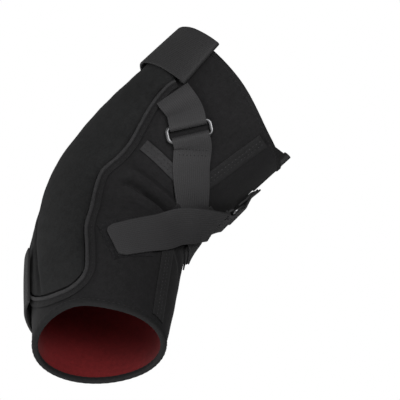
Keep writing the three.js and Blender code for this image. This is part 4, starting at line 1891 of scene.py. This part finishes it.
    def _patch(self, other: str) -> None:
        """Build the loop patch that the strap ends on, and its stitched edge.

        Args:
            other: The name of the side that the patch lies on.
        """
        route = Route(self.form, self.patch_stations)
        places = np.linspace(0, route.length, 8)
        height = LAYERS.patch + self.patch_thickness / 2
        rows = profile_rows([Spot(float(at), height) for at in places], 0.8)
        obj = band_sheet(f"{other}_patch", route, rows, self.patch_width, 36)
        rng = np.random.default_rng(7)
        coordinates = np.empty(len(obj.data.vertices) * 3)
        obj.data.vertices.foreach_get("co", coordinates)
        coordinates += rng.normal(0, self.fuzz_depth * MM, len(coordinates))
        obj.data.vertices.foreach_set("co", coordinates)
        thicken(obj, self.patch_thickness)
        finish_piece(obj, [self.wardrobe.fuzz], [f"{other}_loop_patch"])
        ends = (self.patch_inset, route.length - self.patch_inset)
        half = self.patch_width / 2 - self.patch_inset
        corners = [(ends[0], -half), (ends[1], -half), (ends[1], half), (ends[0], half), (ends[0], -half)]
        line = np.vstack([np.linspace(a, b, 40) for a, b in zip(corners, corners[1:])])
        lift = LAYERS.patch + self.patch_thickness
        along, around = route.place(line[:, 0], line[:, 1], lift)
        sewn_over(self.form, f"{other}_patch_stitches", along, around, lift, self.patch_pitch,
                  self.wardrobe.thread)


class CuffStation(NamedTuple):
    """A place on a cuff strap: reach, angle, the gap that the layer below needs, and the bow."""

    reach: float
    around: float
    over: float
    bow: float


@dataclass
class CuffStraps:
    """The wide strap round the upper half and the elastic band behind the lower half."""

    form: SleeveForm
    wardrobe: Wardrobe
    upper_width: float = 36.0
    upper_thickness: float = 1.6
    lower_width: float = 46.0
    lower_thickness: float = 1.7
    lower_reach: float = -0.61
    bow: float = 2.0
    turn: float = 1.5
    fold: float = 5.0
    hem_stand: float = 0.5
    stitch_inset: float = 1.5
    stitch_pitch: float = 2.6
    lower_inset: float = 2.5

    def end_gap(self) -> float:
        """Give the gap under the upper strap's turned ends."""
        return self.hem_stand + 2 * LAYERS.clearance + 2 * self.turn

    def upper_stations(self) -> list[CuffStation]:
        """List the upper strap's places.

        Returns:
            The places, from the outer end round the back to the inner one.
        """
        pad, edging, tape, end = LAYERS.pad, LAYERS.edging, LAYERS.tape, self.end_gap()
        return [
            CuffStation(0.885, 69, end, 0),
            CuffStation(0.875, 77.5, pad, -0.2),
            CuffStation(0.85, 97, pad, 0.25),
            CuffStation(0.815, 118, pad, 1),
            CuffStation(0.79, 140, pad, -0.4),
            CuffStation(0.78, 160, edging, 0.15),
            CuffStation(0.78, 180, tape, 0),
            CuffStation(0.78, 200, edging, 0.15),
            CuffStation(0.785, 220, pad, -0.4),
            CuffStation(0.8, 242, pad, 1),
            CuffStation(0.81, 263, pad, 0.25),
            CuffStation(0.81, 278.5, pad, -0.2),
            CuffStation(0.81, 285.5, end, 0),
        ]

    def lower_stations(self) -> list[CuffStation]:
        """List the lower strap's places.

        Returns:
            The places, alike on both sides of the back.
        """
        half = [(129, LAYERS.edging, 0.15), (140, LAYERS.edging, 0.25), (158, LAYERS.tape, 0.15)]
        far = [(360 - around, over, bow) for around, over, bow in half[::-1]]
        line = [*half, (180, LAYERS.cloth, 0.15), *far]
        return [CuffStation(self.lower_reach, *rest) for rest in line]

    def build(self) -> None:
        """Build and dress both straps."""
        self._upper()
        self._lower()

    def _route(self, stations: Sequence[CuffStation]) -> Route:
        """Lay the line of a strap."""
        return Route(self.form, [Station(s.reach, s.around, s.over + s.bow * self.bow) for s in stations])

    def _upper(self) -> None:
        """Build the upper strap with its two turned ends and their stitching."""
        route = self._route(self.upper_stations())
        middle = self.end_gap() + self.upper_thickness / 2 - self.turn
        near = turn_round(self.turn, middle, self.turn, -1, 0.0)
        far = turn_round(route.length - self.turn, middle, self.turn, 1, 0.0)[::-1]
        spots = [Spot(self.fold, near[0].height), *near]
        spots += resting(route, self.fold + 1, route.length - self.fold - 1, self.upper_thickness, 30)
        spots += [*far, Spot(route.length - self.fold, near[0].height)]
        obj = band_sheet("upper_cuff_band", route, profile_rows(spots, 0.9), self.upper_width, 22)
        thicken(obj, self.upper_thickness)
        finish_piece(obj, [self.wardrobe.cuff], ["upper_cuff_strap"])
        inset = self.fold + self.stitch_inset
        for row, at in enumerate((inset, route.length - inset)):
            self._stitch_across(route, at, self.upper_width, self.upper_thickness, f"upper_cuff_bar_{row}")

    def _stitch_across(self, route: Route, at: float, width: float, thickness: float, name: str) -> None:
        """Sew one line of stitches across a strap.

        Args:
            route: The line that the strap follows.
            at: Where the stitches lie along it.
            width: The strap's width.
            thickness: The strap's thickness.
            name: The name of the stitches.
        """
        half = width / 2 - self.stitch_inset
        aside = np.linspace(-half, half, 40)
        lift = float(route.read(at)[2]) + thickness
        along, around = route.place(np.full(len(aside), at), aside, lift)
        sewn_over(self.form, name, along, around, lift, self.stitch_pitch, self.wardrobe.thread)

    def _lower(self) -> None:
        """Build the lower elastic band."""
        route = self._route(self.lower_stations())
        spots = resting(route, 0, route.length, self.lower_thickness, 18)
        obj = band_sheet("lower_cuff_band", route, profile_rows(spots, 0.8), self.lower_width, 30)
        thicken(obj, self.lower_thickness)
        finish_piece(obj, [self.wardrobe.cuff], ["lower_cuff_strap"])
        for row, at in enumerate((self.lower_inset, route.length - self.lower_inset)):
            self._stitch_across(route, at, self.lower_width, self.lower_thickness, f"lower_cuff_bar_{row}")


@dataclass
class SeamTapes:
    """The flat tapes over the seams of the front and the crease."""

    form: SleeveForm
    wardrobe: Wardrobe
    thickness: float = LAYERS.binding
    softness: float = 0.2
    crown: float = 0.3
    sags: float = 0.3
    rises: float = 1.3
    front_width: float = 11.0
    crease_width: float = 8.0
    front_lines: tuple[float, ...] = (0.12, 0.37, 0.63, 0.88)
    crease_lines: tuple[float, ...] = (0.3, 0.7)
    stitch_pitch: float = 2.8
    stitch_radius: float = 0.3
    front: tuple[Station, ...] = (
        Station(0.84, 0.5),
        Station(0.44, 2.5),
        Station(0.2, 6),
        Station(-0.1, 2),
        Station(-0.5, 1),
        Station(-0.955, -0.5),
    )
    outer_crease: tuple[Station, ...] = (
        Station(0.275, 53.5),
        Station(0.275, 40),
        Station(0.265, 17),
    )
    inner_crease: tuple[Station, ...] = (
        Station(0.275, -35),
        Station(0.27, -26),
        Station(0.265, -17),
    )

    def build(self) -> None:
        """Build and dress the three tapes."""
        wear = self.wardrobe
        self._tape("front", self.front, self.front_width, 240, self.front_lines, wear.seam,
                   wear.bright_thread)
        for name, stations, rows in (("outer_crease", self.outer_crease, 70),
                                     ("inner_crease", self.inner_crease, 36)):
            self._tape(name, stations, self.crease_width, rows, self.crease_lines, wear.crease_seam,
                       wear.dark_thread)

    def _tape(
        self, name: str, stations: Sequence[Station], width: float, rows: int, lines: Sequence[float],
        cloth: bpy.types.Material, thread: bpy.types.Material,
    ) -> None:
        """Build one tape and its stitch lines.

        Args:
            name: The tape's name.
            stations: Its line.
            width: Its width in millimetres.
            rows: How many faces along it.
            lines: Where its stitch lines lie, as shares of its width.
            cloth: The tape's material.
            thread: The material of its stitches.
        """
        route = Route(self.form, stations)

        def place(down: np.ndarray, across: np.ndarray) -> np.ndarray:
            """Place the tape's points.

            Args:
                down: Shares along it.
                across: Shares across it.

            Returns:
                The points, in millimetres.
            """
            at = down * route.length
            aside = (across - 0.5) * width
            along, around = route.place(at, aside, LAYERS.cloth)
            lift = LAYERS.cloth - self._follow(along, around) + self.thickness / 2
            crown = self.crown * np.sin(across * math.pi * 3) ** 2
            return self.form.point(along, around, lift + crown)

        obj = laid_grid(f"{name}_seam_tape", rows, 12, place, (route.length, width))
        thicken(obj, self.thickness, soft=self.softness, segments=2, sharp=1.0)
        finish_piece(obj, [cloth], [f"{name}_tape"])
        at = np.linspace(1.0, route.length - 1.0, 260)
        for row, share in enumerate(lines):
            aside = np.full(len(at), (share - 0.5) * width)
            along, around = route.place(at, aside, LAYERS.cloth)
            lift = LAYERS.cloth - self._follow(along, around) + self.thickness
            sewn_over(self.form, f"{name}_seam_stitches_{row}", along, around, lift, self.stitch_pitch,
                      thread, self.stitch_radius)

    def _follow(self, along: np.ndarray, around: np.ndarray) -> np.ndarray:
        """Tell how far a tape sinks with the cloth: less into a fold, a little more over a ridge."""
        sink = self.form.sink(along, around)
        return np.where(sink > 0, self.sags, self.rises) * sink


class Lamp(NamedTuple):
    """A square soft light: metres from its target, its size in metres and its power in watts."""

    name: str
    back: float
    right: float
    up: float
    size: float
    power: float


@dataclass
class Studio:
    """The camera, lights and pale floor."""

    azimuth: float = 56.8
    elevation: float = -0.7
    roll: float = 47.0
    distance: float = 1.0
    lens: float = 128.6
    aim_right: float = 0.0569
    aim_up: float = 0.0045
    sensor: float = 36.0
    floor_size: float = 1.5
    floor_drop: float = 0.34
    floor_tone: float = 0.93
    floor_glow: float = 0.5
    surround: float = 0.05
    lamps: tuple[Lamp, ...] = (
        Lamp("key", 1.0, 0.14, 0.3, 0.4, 4.9),
        Lamp("fill", 0.6, -0.9, 0.5, 0.8, 0.3),
        Lamp("rim", -0.3, -0.9, 0.6, 0.5, 0.4),
    )

    def build(self) -> None:
        """Set the camera, the lights, the world and the floor."""
        a, e, r = (math.radians(v) for v in (self.azimuth, self.elevation, self.roll))
        back = Vector((math.sin(a) * math.cos(e), -math.cos(a) * math.cos(e), math.sin(e)))
        level = Vector((math.cos(a), math.sin(a), 0))
        upright = back.cross(level)
        right = level * math.cos(r) + upright * math.sin(r)
        up = upright * math.cos(r) - level * math.sin(r)
        self._camera(back, right, up)
        target = right * self.aim_right
        for lamp in self.lamps:
            place = target + back * lamp.back + right * lamp.right + up * lamp.up
            self._light(lamp, place, target)
        self._world()
        self._floor()

    def _camera(self, back: Vector, right: Vector, up: Vector) -> None:
        """Set the camera at the fitted viewing angle.

        Args:
            back: The direction from the brace to the camera.
            right: The picture's direction to the right.
            up: The picture's direction up.
        """
        data = bpy.data.cameras.new("camera")
        data.lens = self.lens
        data.sensor_width = self.sensor
        data.clip_start = 0.01
        camera = bpy.data.objects.new("camera", data)
        bpy.context.scene.collection.objects.link(camera)
        place = back * self.distance
        away = (place - (right * self.aim_right + up * self.aim_up)).normalized()
        side = up.cross(away).normalized()
        top = away.cross(side)
        turn = Matrix((side, top, away)).transposed().to_4x4()
        camera.matrix_world = Matrix.Translation(place) @ turn
        bpy.context.scene.camera = camera

    def _light(self, lamp: Lamp, place: Vector, target: Vector) -> None:
        """Add one light.

        Args:
            lamp: What it is like.
            place: Where it stands.
            target: The place that it faces.
        """
        data = bpy.data.lights.new(lamp.name, "AREA")
        data.energy = lamp.power
        data.size = lamp.size
        light = bpy.data.objects.new(lamp.name, data)
        bpy.context.scene.collection.objects.link(light)
        light.location = place
        light.rotation_euler = (place - target).to_track_quat("Z", "Y").to_euler()

    def _world(self) -> None:
        """Make a white surround that lights the brace more softly than it looks."""
        world = bpy.data.worlds.new("studio")
        bpy.context.scene.world = world
        world.use_nodes = True
        tree = world.node_tree
        background = tree.nodes["Background"]
        background.inputs["Color"].default_value = (1, 1, 1, 1)
        seen = tree.nodes.new("ShaderNodeLightPath")
        ramp = tree.nodes.new("ShaderNodeMapRange")
        ramp.inputs["To Min"].default_value = self.surround
        ramp.inputs["To Max"].default_value = 1.0
        tree.links.new(seen.outputs["Is Camera Ray"], ramp.inputs["Value"])
        tree.links.new(ramp.outputs["Result"], background.inputs["Strength"])
        bpy.context.scene.view_settings.view_transform = "Standard"

    def _floor(self) -> None:
        """Lay the plain pale floor."""
        deselect()
        bpy.ops.mesh.primitive_plane_add(size=self.floor_size, location=(0, 0, -self.floor_drop))
        floor = bpy.context.active_object
        floor.name = "floor"
        shader = Shader("pale_floor", 0.95)
        shader.principled.inputs["Base Color"].default_value = (*[self.floor_tone] * 3, 1)
        shader.principled.inputs["Emission Color"].default_value = (1, 1, 1, 1)
        shader.principled.inputs["Emission Strength"].default_value = self.floor_glow
        floor.data.materials.append(shader.material)


def main() -> None:
    """Build the brace and its studio."""
    logging.basicConfig(level=logging.INFO, format="%(name)s %(message)s")
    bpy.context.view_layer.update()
    Studio().build()
    form = SleeveForm()
    wardrobe = Wardrobe()
    Sleeve(form, wardrobe).build()
    SidePocket(form, wardrobe, Side.OUTER, cuff_reach=0.885).build()
    SidePocket(form, wardrobe, Side.INNER, cuff_reach=0.81).build()
    outer_seat = RingSeat(reach=0.557, around=38.5, heading=240, rest=LAYERS.cloth, leave=LAYERS.tape,
                          tab_start=Station(0.64, 66), tab_slant=0.0)
    inner_seat = RingSeat(reach=0.42, around=-49, heading=146, rest=LAYERS.tape, leave=LAYERS.strap,
                          tab_start=Station(0.55, -61.5), tab_slant=-0.6)
    span = LAYERS.crease_span
    outer_strap = (
        Station(0.43, 20.5, LAYERS.tape),
        Station(0.36, 11.5, LAYERS.tape),
        Station(0.22, 4, LAYERS.tape + span),
        Station(0.066, -5, LAYERS.tape + span),
        Station(-0.025, -17.5, LAYERS.hook),
        Station(-0.066, -33.5, LAYERS.hook),
        Station(-0.12, -44, LAYERS.hook),
        Station(-0.17, -51, LAYERS.hook),
    )
    inner_strap = (
        Station(0.12, -26, LAYERS.strap),
        Station(-0.14, -11.5, LAYERS.strap),
        Station(-0.406, 7, LAYERS.hook + span),
        Station(-0.504, 24, LAYERS.hook),
        Station(-0.574, 39, LAYERS.hook),
        Station(-0.62, 52, LAYERS.hook),
    )
    inner_patch = (Station(-0.1, -29), Station(-0.15, -40), Station(-0.205, -50))
    outer_patch = (Station(-0.505, 24), Station(-0.56, 40), Station(-0.613, 57.5))
    Fastening(form, wardrobe, Side.OUTER, outer_seat, outer_strap, inner_patch).build()
    Fastening(form, wardrobe, Side.INNER, inner_seat, inner_strap, outer_patch).build()
    CuffStraps(form, wardrobe).build()
    SeamTapes(form, wardrobe).build()


if __name__ == "__main__":
    main()
